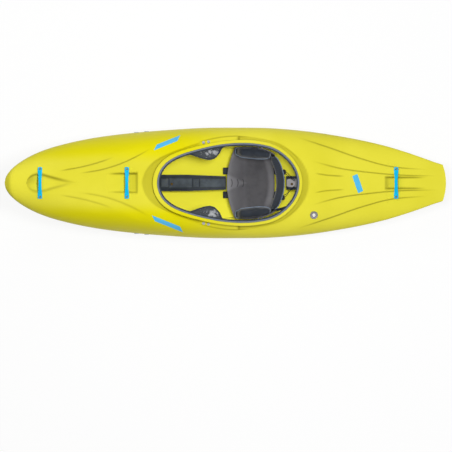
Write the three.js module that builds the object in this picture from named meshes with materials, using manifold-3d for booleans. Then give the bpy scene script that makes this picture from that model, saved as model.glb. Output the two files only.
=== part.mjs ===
// A whitewater kayak: a moulded shell with its outfitting. Millimetres, +Z up,
// bow at -X, port side at -Y, origin under the middle of the boat on its keel.

import * as THREE from "three";
import { mergeVertices } from "three/addons/utils/BufferGeometryUtils.js";
import Module from "manifold-3d";

const wasm = await Module();
wasm.setup();

// Driving dimensions of the boat.
const length = 2700;
const beam = 676;
const height = 481;
const wall = 6;
const fit_gap = 0.3; // between pieces that seat on each other
const slide_gap = 0.5; // between pieces that slide on each other
const overrun = 5; // what a cut runs past a surface

// Places and sizes that grow with the boat are shares of its length, beam or height.
const on_length = (share) => length * share;
const on_beam = (share) => beam * share;
const on_height = (share) => height * share;
const flat_half_width = on_beam(0.1553); // the level strip along the bottom's middle

// Outline of the shell along its length. First number: share of the length from
// the bow. Second: share of the height, or the fullness of the plan.
const keel_shares = [
  [0, 0.938], [0.012, 0.81], [0.026, 0.728], [0.053, 0.598], [0.08, 0.491],
  [0.107, 0.401], [0.148, 0.286], [0.202, 0.17], [0.27, 0.079], [0.325, 0.038],
  [0.38, 0.016], [0.42, 0.005], [0.455, 0], [0.5, 0], [0.545, 0], [0.6, 0.009],
  [0.665, 0.036], [0.719, 0.076], [0.773, 0.14], [0.828, 0.219],
  [0.882, 0.304], [0.937, 0.38], [1, 0.443],
];
const chine_shares = [
  [0, 0.938], [0.012, 0.84], [0.026, 0.765], [0.053, 0.64], [0.08, 0.53],
  [0.107, 0.437], [0.148, 0.335], [0.216, 0.22], [0.284, 0.15], [0.352, 0.118],
  [0.443, 0.095], [0.533, 0.093], [0.624, 0.104], [0.714, 0.15],
  [0.805, 0.226], [0.896, 0.342], [1, 0.452],
];
const seam_shares = [
  [0, 0.938], [0.012, 0.9], [0.026, 0.84], [0.053, 0.715], [0.08, 0.615],
  [0.107, 0.545], [0.148, 0.475], [0.216, 0.398], [0.284, 0.341],
  [0.352, 0.309], [0.443, 0.284], [0.533, 0.277], [0.624, 0.262],
  [0.714, 0.266], [0.805, 0.308], [0.896, 0.388], [1, 0.466],
];
const crown_shares = [
  [0, 0.938], [0.013, 0.998], [0.028, 0.977], [0.057, 0.944], [0.091, 0.902],
  [0.146, 0.871], [0.177, 0.863], [0.207, 0.865], [0.282, 0.884],
  [0.327, 0.872], [0.36, 0.835], [0.396, 0.785], [0.458, 0.69], [0.5, 0.62],
  [0.549, 0.562], [0.6, 0.54], [0.64, 0.535], [0.687, 0.545], [0.708, 0.543],
  [0.735, 0.522], [0.775, 0.491], [0.83, 0.464], [0.868, 0.453],
  [0.907, 0.462], [0.961, 0.48], [1, 0.493],
];
const fullness_shares = [
  [0, 4], [0.07, 4.03], [0.14, 3.63], [0.21, 3.24], [0.27, 2.92],
  [0.32, 2.685], [0.375, 2.457], [0.45, 2.2], [0.53, 1.887], [0.592, 1.669],
  [0.6465, 1.44], [0.7, 1.205], [0.755, 0.959], [0.81, 0.73], [0.864, 0.516],
  [0.918, 0.321], [0.973, 0.161], [1, 0.108],
];
// How boxy the deck is across: 2 is an ellipse, more has a flatter top.
const boxiness_shares = [
  [0, 2], [0.1, 2.2], [0.2, 2.7], [0.3, 4], [0.38, 5.5], [0.46, 6.5],
  [0.6, 6], [0.68, 4.4], [0.76, 3], [0.86, 2.4], [1, 2.2],
];
const chine_width_share = 0.87; // of the half beam
const floor_curve = 1.6; // how the bottom turns up to the chine: 1 is straight
const side_part_shares = [1 / 3, 2 / 3, 1];
const deck_steps = 8;
const stern_arc = 20; // how far the stern's edge bows out at its middle
const stern_arc_from_share = 0.86;

// Cockpit: an egg on which the coaming, its trim and the moat are drawn.
const opening_length = on_length(0.30926);
const opening_width = on_beam(0.66124);
const opening_middle = on_length(0.00667);
const egg_shares = [
  [-1, 1.06], [-0.75, 0.94], [-0.5, 0.9], [0, 0.985], [0.4, 1.08],
  [0.7, 1.16], [0.9, 1.13], [1, 1.1],
];
const lip_top_shares = [
  [0.3, 0.895], [0.334, 0.9], [0.368, 0.89], [0.395, 0.863], [0.422, 0.83],
  [0.449, 0.788], [0.477, 0.744], [0.504, 0.701], [0.531, 0.659],
  [0.558, 0.632], [0.585, 0.607], [0.612, 0.597], [0.67, 0.59], [0.7, 0.59],
];
const trim_thickness = 3;
const trim_width = 19;
const trim_drop = 12;
const trim_bevel = 1;
const neck_wall = 7;
const lip_reach = 37; // from the inner edge of the trim to the lip's outer edge
const lip_thickness = 14;
const lip_round = 4;

// Colours.
const yellow = "#e4db41";
const grey = "#6e7880";
const charcoal = "#3c4248";
const seat_grey = "#545356";
const foam_black = "#32363d";
const blue = "#00aeef";
const silver = "#c4c8cc";
const gold = "#8a7440";

const colour_of = (hex, roughness, metalness = 0) =>
  new THREE.MeshStandardMaterial({ color: hex, roughness, metalness });
const moulded_yellow = colour_of(yellow, 0.4);
const rubber_grey = colour_of(grey, 0.7);
const rail_plastic = colour_of(charcoal, 0.5);
const seat_plastic = colour_of(seat_grey, 0.55);
const padding = colour_of(foam_black, 0.9);
const handle_plastic = colour_of(blue, 0.35);
const bright_steel = colour_of(silver, 0.3, 0.9);
const dark_brass = colour_of(gold, 0.35, 0.9);

const kayak = new THREE.Group();
kayak.name = "whitewater_kayak";

// A smooth curve through pairs of numbers.
function through(pairs) {
  const curve = new THREE.CubicInterpolant(
    pairs.map((pair) => pair[0]), pairs.map((pair) => pair[1]), 1);
  const first = pairs[0][0];
  const last = pairs[pairs.length - 1][0];
  return (at) => curve.evaluate(Math.min(Math.max(at, first), last))[0];
}

// A closed mesh becomes a solid: equal corners are merged, empty faces dropped.
function solid(geometry) {
  const bare = geometry.clone();
  bare.deleteAttribute("normal");
  bare.deleteAttribute("uv");
  const merged = mergeVertices(bare);
  const faces = [];
  for (let i = 0; i < merged.index.count; i += 3) {
    const [a, b, c] = [0, 1, 2].map((k) => merged.index.getX(i + k));
    if (a !== b && b !== c && a !== c) faces.push(a, b, c);
  }
  return new wasm.Manifold(new wasm.Mesh({
    numProp: 3,
    vertProperties: merged.attributes.position.array,
    triVerts: new Uint32Array(faces),
  }));
}

function add(name, body, material) {
  const made = body.getMesh();
  const geometry = new THREE.BufferGeometry();
  geometry.setAttribute("position",
    new THREE.BufferAttribute(new Float32Array(made.vertProperties), 3));
  geometry.setIndex(new THREE.BufferAttribute(made.triVerts, 1));
  geometry.computeVertexNormals();
  const mesh = new THREE.Mesh(geometry, material);
  mesh.name = name;
  kayak.add(mesh);
}

// A surface through rings of points. Its ends are capped from a middle point, or
// edge to edge where a ring is folded, running out and back along a thin wall. A
// looped one closes on itself.
function skin(rings, kind = "capped") {
  const looped = kind === "looped";
  const points = [];
  const faces = [];
  const around = rings[0].length;
  rings.forEach((ring) => ring.forEach((point) => points.push(...point)));
  const last = looped ? rings.length : rings.length - 1;
  for (let i = 0; i < last; i += 1) {
    const here = i * around;
    const next = ((i + 1) % rings.length) * around;
    for (let j = 0; j < around; j += 1) {
      const k = (j + 1) % around;
      faces.push(here + j, next + k, here + k, here + j, next + j, next + k);
    }
  }
  const cap = (start, turned) => {
    const put = (a, b, c) => faces.push(...(turned ? [c, b, a] : [a, b, c]));
    const first = start * around;
    if (kind === "folded") {
      for (let j = 0; j < around / 2 - 1; j += 1) {
        const [a, b] = [first + j, first + j + 1];
        const [c, d] = [first + around - 1 - j, first + around - 2 - j];
        put(a, b, d);
        put(a, d, c);
      }
      return;
    }
    const ring = rings[start];
    const centre = points.length / 3;
    points.push(...[0, 1, 2].map((axis) =>
      ring.reduce((sum, point) => sum + point[axis], 0) / around));
    for (let j = 0; j < around; j += 1) put(centre, first + j, first + ((j + 1) % around));
  };
  if (!looped) {
    cap(0, false);
    cap(rings.length - 1, true);
  }
  const geometry = new THREE.BufferGeometry();
  geometry.setAttribute("position",
    new THREE.BufferAttribute(new Float32Array(points), 3));
  geometry.setIndex(faces);
  const body = solid(geometry);
  if (body.volume() > 0) return body;
  geometry.setIndex(faces.reverse());
  return solid(geometry);
}

// A block between two corners.
function block(x0, x1, y0, y1, z0, z1) {
  const box = new THREE.BoxGeometry(x1 - x0, y1 - y0, z1 - z0);
  box.translate((x0 + x1) / 2, (y0 + y1) / 2, (z0 + z1) / 2);
  return solid(box);
}

// A turned piece: pairs of radius and height, from axis to axis, upward.
function turned(profile, facets = 14) {
  const lathe = new THREE.LatheGeometry(
    profile.map(([radius, z]) => new THREE.Vector2(radius, z)), facets);
  lathe.rotateX(Math.PI / 2);
  return solid(lathe);
}

// An outline in plan, raised from one height to another.
function raised(outline, z0, z1) {
  const shape = new THREE.Shape(outline.map(([x, y]) => new THREE.Vector2(x, y)));
  const body = new THREE.ExtrudeGeometry(shape,
    { depth: z1 - z0, bevelEnabled: false });
  body.translate(0, 0, z0);
  return solid(body);
}

// Hull and deck.
const keel_of = through(keel_shares);
const chine_of = through(chine_shares);
const seam_of = through(seam_shares);
const crown_of = through(crown_shares);
const fullness_of = through(fullness_shares);
const boxiness_of = through(boxiness_shares);

const share_at = (x) => x / length + 1 / 2;
const half_beam = (share) =>
  (beam / 2) * Math.sqrt(Math.max(share * fullness_of(share), 0));

// Height of the deck at a place in plan.
function deck_z(x, y) {
  const share = share_at(x);
  const seam = height * seam_of(share);
  const out = Math.min(Math.abs(y) / half_beam(share), 1);
  const rise = Math.sqrt(1 - out ** boxiness_of(share));
  return seam + (height * crown_of(share) - seam) * rise;
}

// One cross-section, set in from the outer skin by a depth.
function section(share, inset) {
  const half = half_beam(share) - inset;
  const keel = height * Math.max(keel_of(share), 0) + inset;
  const crown = height * crown_of(share) - inset;
  const clamp = (z) => Math.min(Math.max(z, keel), crown);
  const seam = clamp(height * seam_of(share));
  const chine = clamp(height * chine_of(share) + inset / 2);
  const chine_y = half * chine_width_share;
  const flat = Math.min(flat_half_width, chine_y / 2);
  const side = [];
  for (const part of [0, 1]) side.push([flat * part, keel]);
  for (const part of side_part_shares) {
    side.push([flat + (chine_y - flat) * part,
      keel + (chine - keel) * part ** floor_curve]);
  }
  side.push([(chine_y + half) / 2, (chine + seam) / 2]);
  for (let i = 0; i <= deck_steps; i += 1) {
    const turn = (Math.PI / 2) * (i / deck_steps);
    const out = i === deck_steps ? 0 : Math.cos(turn) ** (2 / boxiness_of(share));
    side.push([half * out, seam + (crown - seam) * Math.sin(turn)]);
  }
  const other = side.slice(1, -1).reverse().map(([y, z]) => [-y, z]);
  const x = (share - 1 / 2) * length;
  const bend = Math.max(share - stern_arc_from_share, 0) / (1 - stern_arc_from_share);
  return side.concat(other).map(([y, z]) =>
    [x - stern_arc * bend * (y / half) ** 2, y, z]);
}

// Rings lie closer together at the bow, where the form turns quickly.
const even_share = 0.55;
function hull_form(first, last, inset, count) {
  const rings = [];
  for (let i = 0; i <= count; i += 1) {
    const part = i / count;
    const along = even_share * part + (1 - even_share) * part ** 2;
    rings.push(section(first + (last - first) * along, inset));
  }
  return skin(rings);
}

const outer_rings = 38;
const bow_first_share = 0.00005;
const inner_rings = 24;
const outer_form = hull_form(bow_first_share, 1, 0, outer_rings);
const cavity_first_share = 0.02;
const cavity_last_share = 0.975;
const cavity = hull_form(cavity_first_share, cavity_last_share, wall, inner_rings);
const inside = hull_form(cavity_first_share, cavity_last_share, wall + fit_gap, inner_rings);

// The cockpit egg, drawn at a distance outside its own edge.
const egg_of = through(egg_shares);
const small_turn = 0.001;
function egg_point(turn, grow) {
  const at = (angle) => [
    opening_middle - (opening_length / 2) * Math.cos(angle),
    (opening_width / 2) * Math.sin(angle) * egg_of(-Math.cos(angle)),
  ];
  const [x, y] = at(turn);
  const [xa, ya] = at(turn - small_turn);
  const [xb, yb] = at(turn + small_turn);
  const long = Math.hypot(xb - xa, yb - ya);
  return [x - (grow * (yb - ya)) / long, y + (grow * (xb - xa)) / long];
}

const egg_steps = 48;
function egg_outline(grow) {
  const outline = [];
  for (let i = 0; i < egg_steps; i += 1) {
    outline.push(egg_point((2 * Math.PI * i) / egg_steps, grow));
  }
  return outline;
}

const lip_of = through(lip_top_shares);
const lip_z = (x) => height * lip_of(share_at(x));

// A ring of one profile round the egg: each point is a reach outward, or a function
// that gives it, and a function that gives its height from the place on the egg.
function egg_ring(profile) {
  const rings = [];
  for (let i = 0; i < egg_steps; i += 1) {
    const turn = (2 * Math.PI * i) / egg_steps;
    const [base_x] = egg_point(turn, 0);
    const half_turns = 1 - Math.abs(1 - (2 * i) / egg_steps); // 0 at the bow's end, 1 aft
    rings.push(profile.map(([reach, z_of]) => {
      const [x, y] = egg_point(turn, typeof reach === "number" ? reach : reach(half_turns));
      return [x, y, z_of(base_x, x, y)];
    }));
  }
  return skin(rings, "looped");
}

// A moat round the coaming, where the spray deck's edge lies. A raised ledge on each
// side interrupts it, to carry the thigh braces' bolts: it rises gently from the front
// and ends in a step.
const moat_reach_shares = [
  [0, 0.1657], [0.11, 0.145], [0.25, 0.1036], [0.5, 0.0917], [0.75, 0.0976],
  [0.89, 0.1095], [1, 0.1139],
];
const moat_reach_of = through(moat_reach_shares);
const moat = {
  depth: 7, slope: 14, above: 12, below: 30, ramp: 22,
  ledge_from: on_length(-0.0611), ledge_to: on_length(0.0289), ledge_y: on_beam(0.25),
};
const moat_edge = (inward) => (half_turns) => on_beam(moat_reach_of(half_turns)) - inward;
const from_deck = (rise) => (base_x, x, y) => deck_z(x, y) + rise;
const moat_ring = egg_ring([
  [0, from_deck(-moat.below)],
  [0, from_deck(moat.above)],
  [moat_edge(-moat.slope / 2), from_deck(moat.above)],
  [moat_edge(0), from_deck(0)],
  [moat_edge(moat.slope), from_deck(-moat.depth)],
  [moat_edge(moat.slope), from_deck(-moat.below)],
]);
const ledge_deck = deck_z(moat.ledge_from, moat.ledge_y);
function ledges(inset) {
  const { ledge_from, ledge_to, ledge_y, ramp, depth } = moat;
  const side_view = [
    [ledge_from - ramp + inset, 0], [ledge_to - inset, 0],
    [ledge_to - inset, ledge_deck + 2 * depth - inset],
    [ledge_from + 3 * ramp + inset, ledge_deck + 2 * depth - inset],
    [ledge_from - ramp + inset, ledge_deck - 2 * depth - inset],
  ];
  const upright = raised(side_view, -beam, beam).rotate([90, 0, 0]);
  return upright.subtract(block(-length, length, -ledge_y, ledge_y, 0, height));
}
const moat_cut = (form, inset) => moat_ring.translate([0, 0, -inset])
  .subtract(ledges(inset)).subtract(form.translate([0, 0, -moat.depth]));

const from_lip = (rise) => (base_x) => lip_z(base_x) + rise;
const neck_overlap = 1; // what the neck runs below the deck's inner face
const under_deck = (base_x, x, y) =>
  deck_z(x, y) - moat.depth - wall - neck_overlap;
const neck_in = trim_thickness + fit_gap;
const neck_out = neck_in + neck_wall;
const coaming = egg_ring([
  [neck_in, under_deck],
  [neck_in, from_lip(0)],
  [lip_reach - lip_round, from_lip(0)],
  [lip_reach, from_lip(-lip_round)],
  [lip_reach, from_lip(lip_round - lip_thickness)],
  [lip_reach - lip_round, from_lip(-lip_thickness)],
  [neck_out, from_lip(-lip_thickness)],
  [neck_out, under_deck],
]);

// Recesses in the deck that give fingers room under the grab handles.
const recess_sides = 12;
const recess_steps = 9;
const recess_end_share = 0.01; // where the first ring stands, short of the tip
function pod(piece, grow) {
  const rings = [];
  const [x0, x1] = [piece.from - grow, piece.to + grow];
  for (let i = 0; i <= recess_steps; i += 1) {
    const part = recess_end_share + (1 - 2 * recess_end_share) * (i / recess_steps);
    const near = part < piece.fullest_share ? part / piece.fullest_share
      : (1 - part) / (1 - piece.fullest_share);
    const swell = Math.sqrt(Math.sin((Math.PI / 2) * near));
    const x = x0 + (x1 - x0) * part;
    const ring = [];
    for (let j = 0; j < recess_sides; j += 1) {
      const turn = (2 * Math.PI * j) / recess_sides;
      ring.push([x, (piece.half_width + grow) * swell * Math.cos(turn),
        deck_z(x, 0) + (piece.depth + grow) * swell * Math.sin(turn)]);
    }
    rings.push(ring);
  }
  return skin(rings);
}
// The other kind is a channel with a flat floor, which deepens toward a wall at one end.
const channel_steps = 5;
function channel(piece, grow) {
  const rings = [];
  const { half_width, corner, above } = piece;
  for (let i = 0; i <= channel_steps; i += 1) {
    const part = i / channel_steps;
    const beyond = piece.wall_aft ? Math.max(part - 1 + 1 / channel_steps, 0)
      : -Math.max(1 / channel_steps - part, 0);
    const x = piece.from + (piece.to - piece.from) * part
      + grow * channel_steps * beyond;
    const deep = piece.depth * (piece.wall_aft ? part : 1 - part);
    const w = half_width + grow;
    const [top, bottom] = [deck_z(x, 0) + above, deck_z(x, 0) - deep - grow];
    rings.push([[x, w, top], [x, -w, top], [x, -w, bottom + corner],
      [x, corner - w, bottom], [x, w - corner, bottom], [x, w, bottom + corner]]);
  }
  return skin(rings);
}
const recesses = [
  {
    shape: pod, from: on_length(-0.4504), to: on_length(-0.3293),
    half_width: on_beam(0.0917), depth: on_height(0.0353), fullest_share: 0.25,
  },
  {
    shape: channel, from: on_length(-0.2704), to: on_length(-0.1993),
    half_width: on_beam(0.0902), depth: on_height(0.05), corner: 8, above: 20,
    wall_aft: true,
  },
  {
    shape: channel, from: on_length(0.3644), to: on_length(0.4593),
    half_width: on_beam(0.0562), depth: on_height(0.03), corner: 6, above: 20,
    wall_aft: false,
  },
];
let room = cavity.subtract(moat_cut(cavity, wall));
let inner_room = inside.subtract(moat_cut(inside, wall + fit_gap));
let skin_form = outer_form.subtract(moat_cut(outer_form, 0));
for (const recess of recesses) {
  room = room.subtract(recess.shape(recess, wall));
  inner_room = inner_room.subtract(recess.shape(recess, wall + fit_gap));
  skin_form = skin_form.subtract(recess.shape(recess, 0));
}
const opening_floor = on_height(0.353); // the cut starts here, under the deck
const opening_cut = raised(egg_outline(neck_in), opening_floor, height + overrun);
let shell = skin_form.subtract(room).subtract(opening_cut).add(coaming);

add("coaming_edge_trim", egg_ring([
  [0, from_lip(-trim_drop)],
  [0, from_lip(trim_thickness - trim_bevel)],
  [trim_bevel, from_lip(trim_thickness)],
  [trim_width - trim_bevel, from_lip(trim_thickness)],
  [trim_width, from_lip(fit_gap)],
  [trim_thickness, from_lip(fit_gap)],
  [trim_thickness, from_lip(-trim_drop)],
]), rubber_grey);

// Where a fitting stands on the deck: a place and the way that points off it.
function deck_stand(x, y) {
  const step = 1;
  const along = new THREE.Vector3(2 * step, 0, deck_z(x + step, y) - deck_z(x - step, y));
  const across = new THREE.Vector3(0, 2 * step, deck_z(x, y + step) - deck_z(x, y - step));
  const up = along.clone().cross(across).normalize();
  const ahead = along.normalize();
  const side = up.clone().cross(ahead);
  return new THREE.Matrix4().makeBasis(ahead, side, up).setPosition(x, y, deck_z(x, y));
}
const stood = (body, matrix) => body.transform(matrix.elements);
const above_deck = outer_form.translate([0, 0, fit_gap]);

// Grab handles: an arched bar whose feet lie on the deck, with a screw in each.
const handle = {
  half_span: on_beam(0.1435), half_width: 13.5, waist_share: 0.84, thickness: 9,
  arch: 15, arch_curve: 1.2, foot: on_beam(0.0976), screw_at: on_beam(0.1243),
  corner: 3, under: 2, steps: 18,
};
const screw = { shank: 3, head: 8, head_height: 3.4, length: 18, sink: 4, edge: 2 };
const screw_facets = 12;
const screw_body = turned([
  [0, -screw.length], [screw.shank, -screw.length], [screw.shank, 0],
  [screw.head, 0], [screw.head, screw.head_height / 2],
  [screw.head - screw.edge, screw.head_height], [0, screw.head_height],
], screw_facets);
const screw_hole = turned([
  [0, -screw.length - overrun], [screw.shank + fit_gap, -screw.length - overrun],
  [screw.shank + fit_gap, -fit_gap], [screw.head + fit_gap, -fit_gap],
  [screw.head + fit_gap, 3 * overrun], [0, 3 * overrun],
], screw_facets);
function grab_handle(name, x_middle) {
  const rings = [];
  const { half_width, thickness, corner, under, steps } = handle;
  for (let i = 0; i <= steps; i += 1) {
    const y = handle.half_span * (2 * (i / steps) - 1);
    const near = Math.min(Math.abs(y) / handle.foot, 1);
    const lift = handle.arch * Math.cos((Math.PI / 2) * near) ** handle.arch_curve;
    const waist = handle.waist_share + (1 - handle.waist_share) * near ** 2;
    const w = half_width * waist;
    const profile = [
      [-w, -under], [-w, thickness - corner], [corner - w, thickness],
      [w - corner, thickness], [w, thickness - corner], [w, -under],
    ];
    rings.push(profile.map(([dx, dz]) =>
      [x_middle + dx, y, deck_z(x_middle + dx, y) + lift + dz]));
  }
  let body = skin(rings).subtract(above_deck);
  for (const side of [-1, 1]) {
    const y = side * handle.screw_at;
    const seat = deck_z(x_middle, y) + thickness - screw.sink;
    body = body.subtract(screw_hole.translate([x_middle, y, seat]));
    shell = shell.subtract(screw_hole.translate([x_middle, y, seat]));
    const side_name = side < 0 ? "port" : "starboard";
    add(`${name}_screw_${side_name}`, screw_body.translate([x_middle, y, seat]), dark_brass);
  }
  add(name, body, handle_plastic);
}
grab_handle("bow_grab_handle", on_length(-0.42));
grab_handle("deck_grab_handle", on_length(-0.22333));
grab_handle("stern_grab_handle", on_length(0.38704));

// Drain plug: a seat ring let into the deck, a seal and a screwed plug.
const drain = {
  x: on_length(0.20074), y: on_beam(-0.29142), ring: 24, ring_height: 3, neck: 17,
  depth: 14, bore: 13, edge: 1, head: 19.5, head_edge: 2, head_height: 5,
  seal_height: 1.6, slot: 3, slot_reach_share: 0.7,
};
const drain_facets = 24;
const drain_stand = deck_stand(drain.x, drain.y);
const drain_ring = turned([
  [drain.bore, -drain.depth], [drain.neck, -drain.depth], [drain.neck, fit_gap],
  [drain.ring, fit_gap], [drain.ring, drain.ring_height - drain.edge],
  [drain.ring - drain.edge, drain.ring_height], [drain.bore, drain.ring_height],
  [drain.bore, -drain.depth],
], drain_facets);
shell = shell.subtract(stood(turned([
  [0, -drain.depth - overrun], [drain.neck + fit_gap, -drain.depth - overrun],
  [drain.neck + fit_gap, overrun], [0, overrun],
], drain_facets), drain_stand));
add("drain_seat_ring", stood(drain_ring, drain_stand).subtract(above_deck
  .subtract(stood(turned([[0, -3 * overrun], [drain.neck + 2 * fit_gap, -3 * overrun],
    [drain.neck + 2 * fit_gap, overrun], [0, overrun]], drain_facets),
  drain_stand))), bright_steel);
const seal_base = drain.ring_height + fit_gap;
add("drain_seal", stood(turned([
  [drain.bore + fit_gap, seal_base], [drain.neck, seal_base],
  [drain.neck, seal_base + drain.seal_height],
  [drain.bore + fit_gap, seal_base + drain.seal_height],
  [drain.bore + fit_gap, seal_base],
], drain_facets), drain_stand), rubber_grey);
const plug_base = seal_base + drain.seal_height + fit_gap;
const slot_reach = drain.head * drain.slot_reach_share;
const plug_slot = block(-slot_reach, slot_reach, -drain.slot / 2,
  drain.slot / 2, plug_base + drain.head_height / 2, plug_base + 2 * drain.head_height);
add("drain_plug", stood(turned([
  [0, -drain.depth], [drain.bore - slide_gap, -drain.depth],
  [drain.bore - slide_gap, plug_base], [drain.head, plug_base],
  [drain.head, plug_base + drain.head_height - drain.head_edge],
  [drain.head - drain.head_edge, plug_base + drain.head_height],
  [0, plug_base + drain.head_height],
], drain_facets).subtract(plug_slot), drain_stand), bright_steel);

// Pillars: upright foam walls that hold the deck off the hull.
const pillar_half_width = 30;
const bow_pillar = { from: on_length(-0.437), to: on_length(-0.2926) };
const stern_pillar = { from: on_length(0.1778), to: on_length(0.4259) };
for (const [name, span] of [["bow_pillar", bow_pillar], ["stern_pillar", stern_pillar]]) {
  add(name, block(span.from, span.to, -pillar_half_width, pillar_half_width,
    -overrun, height).intersect(inner_room), padding);
}

// Centre rail ahead of the seat: a body on the floor under a wider flange.
const rail = {
  from: on_length(-0.1741), to: on_length(0.0015), half_body: on_beam(0.0473),
  top: on_height(0.1746), flange: 8, half_flange: on_beam(0.074),
  half_end: on_beam(0.0607), taper_from: on_length(-0.0889), end_gap: 4, joined: 1,
};
const flange_outline = [
  [rail.from, -rail.half_flange], [rail.taper_from, -rail.half_flange],
  [rail.to, -rail.half_end], [rail.to, rail.half_end],
  [rail.taper_from, rail.half_flange], [rail.from, rail.half_flange],
];
const rail_screw_at = [on_length(-0.1215), on_beam(-0.0104)];
const rear_rail = {
  from: on_length(0.1378), to: on_length(0.1741), half_width: on_beam(0.0607),
  half_body: on_beam(0.0473), top: on_height(0.2536),
  screw: [on_length(0.15074), on_beam(-0.0104)],
};
const tall_block = {
  from: on_length(-0.1456), to: on_length(-0.1289), half_width: on_beam(0.0385), height: 16,
};
const latch = {
  from: on_length(-0.0733), to: on_length(-0.0596), half_width: on_beam(0.0355), height: 10,
};
const rail_top = rail.top + rail.flange;
let centre_rail = block(rail.from, rail.to - rail.end_gap, -rail.half_body,
  rail.half_body, -overrun, rail.top + rail.joined).intersect(inner_room)
  .add(raised(flange_outline, rail.top, rail_top));
let rear_rail_body = block(rear_rail.from, rear_rail.to, -rear_rail.half_body,
  rear_rail.half_body, -overrun, rear_rail.top - rail.flange + rail.joined)
  .intersect(inner_room)
  .add(block(rear_rail.from, rear_rail.to, -rear_rail.half_width, rear_rail.half_width,
    rear_rail.top - rail.flange, rear_rail.top));
function rail_block(name, piece, base, material) {
  const half = piece.half_width;
  const body = block(piece.from, piece.to, -half, half, base + fit_gap, base + piece.height);
  add(name, body, material);
}
rail_block("rail_front_block", tall_block, rail_top, rail_plastic);
rail_block("rail_latch", latch, rail_top, rail_plastic);
const rear_block = {
  from: on_length(0.1585), to: on_length(0.1711), half_width: on_beam(0.0385), height: 22,
};
rail_block("rear_rail_block", rear_block, rear_rail.top, rubber_grey);
const front_screw = screw_body.translate([...rail_screw_at, rail_top + fit_gap]);
centre_rail = centre_rail.subtract(screw_hole.translate([...rail_screw_at, rail_top + fit_gap]));
const rear_screw_z = rear_rail.top + fit_gap;
rear_rail_body = rear_rail_body.subtract(
  screw_hole.translate([...rear_rail.screw, rear_screw_z]));
add("centre_rail", centre_rail, rail_plastic);
add("rear_rail", rear_rail_body, rail_plastic);
add("rail_front_screw", front_screw, dark_brass);
add("rear_rail_screw", screw_body.translate([...rear_rail.screw, rear_screw_z]), dark_brass);

// Floor strips that the seat slides on.
const strip = {
  from: on_length(-0.0052), to: on_length(0.1259), middle: on_beam(0.0947),
  half_width: on_beam(0.0266), top: on_height(0.06237),
};
for (const [side, name] of [[-1, "port"], [1, "starboard"]]) {
  const y = side * strip.middle;
  add(`floor_strip_${name}`, block(strip.from, strip.to, y - strip.half_width,
    y + strip.half_width, -overrun, strip.top).intersect(inner_room), rail_plastic);
}

// Seat pan: a thin moulded trough. Its front edge bulges and rises over the rail.
const seat_travel = 20;
const egg_y = (x) => egg_point(Math.acos((opening_middle - x) / (opening_length / 2)), 0)[1];
const seat = {
  front: on_length(0.0033), front_sweep: on_length(0.0159), rear: on_length(0.11185),
  wall: 5, top: on_height(0.5738), low_top: on_height(0.3119),
  front_rise: on_height(0.1538), rise_to: on_length(0.0444), side_clearance: 3.5,
  side_curve: 0.8, wall_curve: 2.2, side_steps: 14,
};
const seat_base = strip.top + slide_gap + seat.wall;
// Its sides keep inside the opening wherever the seat stands.
const seat_half = (x) => egg_y(x + seat_travel) - seat.wall - seat.side_clearance;
const seat_widest = seat_half(seat.rise_to);
const smooth = (part) => {
  const at = Math.min(Math.max(part, 0), 1);
  return at * at * (3 - 2 * at);
};
const turn_step = 0.01;
function seat_section(part, depth, room_only) {
  const at_x = (y) => {
    const front = seat.front + seat.front_sweep * (y / seat_widest) ** 2;
    return front + (seat.rear - front) * part;
  };
  const middle_x = at_x(0);
  const base = seat_base
    + seat.front_rise * smooth((seat.rise_to - middle_x) / (seat.rise_to - seat.front));
  const top = seat.low_top + (seat.top - seat.low_top)
    * smooth((middle_x - seat.front) / (seat.rise_to - seat.front));
  const path = (turn) => [
    seat_half(middle_x) * Math.sign(turn) * Math.abs(Math.sin(turn)) ** seat.side_curve,
    base + (top - base) * (1 - Math.cos(turn)) ** seat.wall_curve,
  ];
  const upper = [];
  const lower = [];
  for (let i = 0; i <= seat.side_steps; i += 1) {
    const turn = (Math.PI / 2) * (2 * (i / seat.side_steps) - 1);
    const [y, z] = path(turn);
    const [ya, za] = path(turn - turn_step);
    const [yb, zb] = path(turn + turn_step);
    const end = i === 0 || i === seat.side_steps;
    const long = Math.hypot(yb - ya, zb - za);
    const [ny, nz] = end ? [-Math.sign(turn), 0] : [-(zb - za) / long, (yb - ya) / long];
    upper.push([at_x(y), y + ny * depth, z + nz * depth]);
    lower.push([at_x(y), y - ny * seat.wall, z - nz * seat.wall]);
  }
  return room_only ? upper : upper.concat(lower.reverse());
}
const seat_steps = 9;
const seat_rings = (depth, room_only) => {
  const rings = [];
  for (let i = 0; i <= seat_steps; i += 1) {
    rings.push(seat_section(i / seat_steps, depth, room_only));
  }
  return rings;
};
const seat_room = skin(seat_rings(fit_gap, true));
let seat_pan = skin(seat_rings(0, false), "folded");

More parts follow.
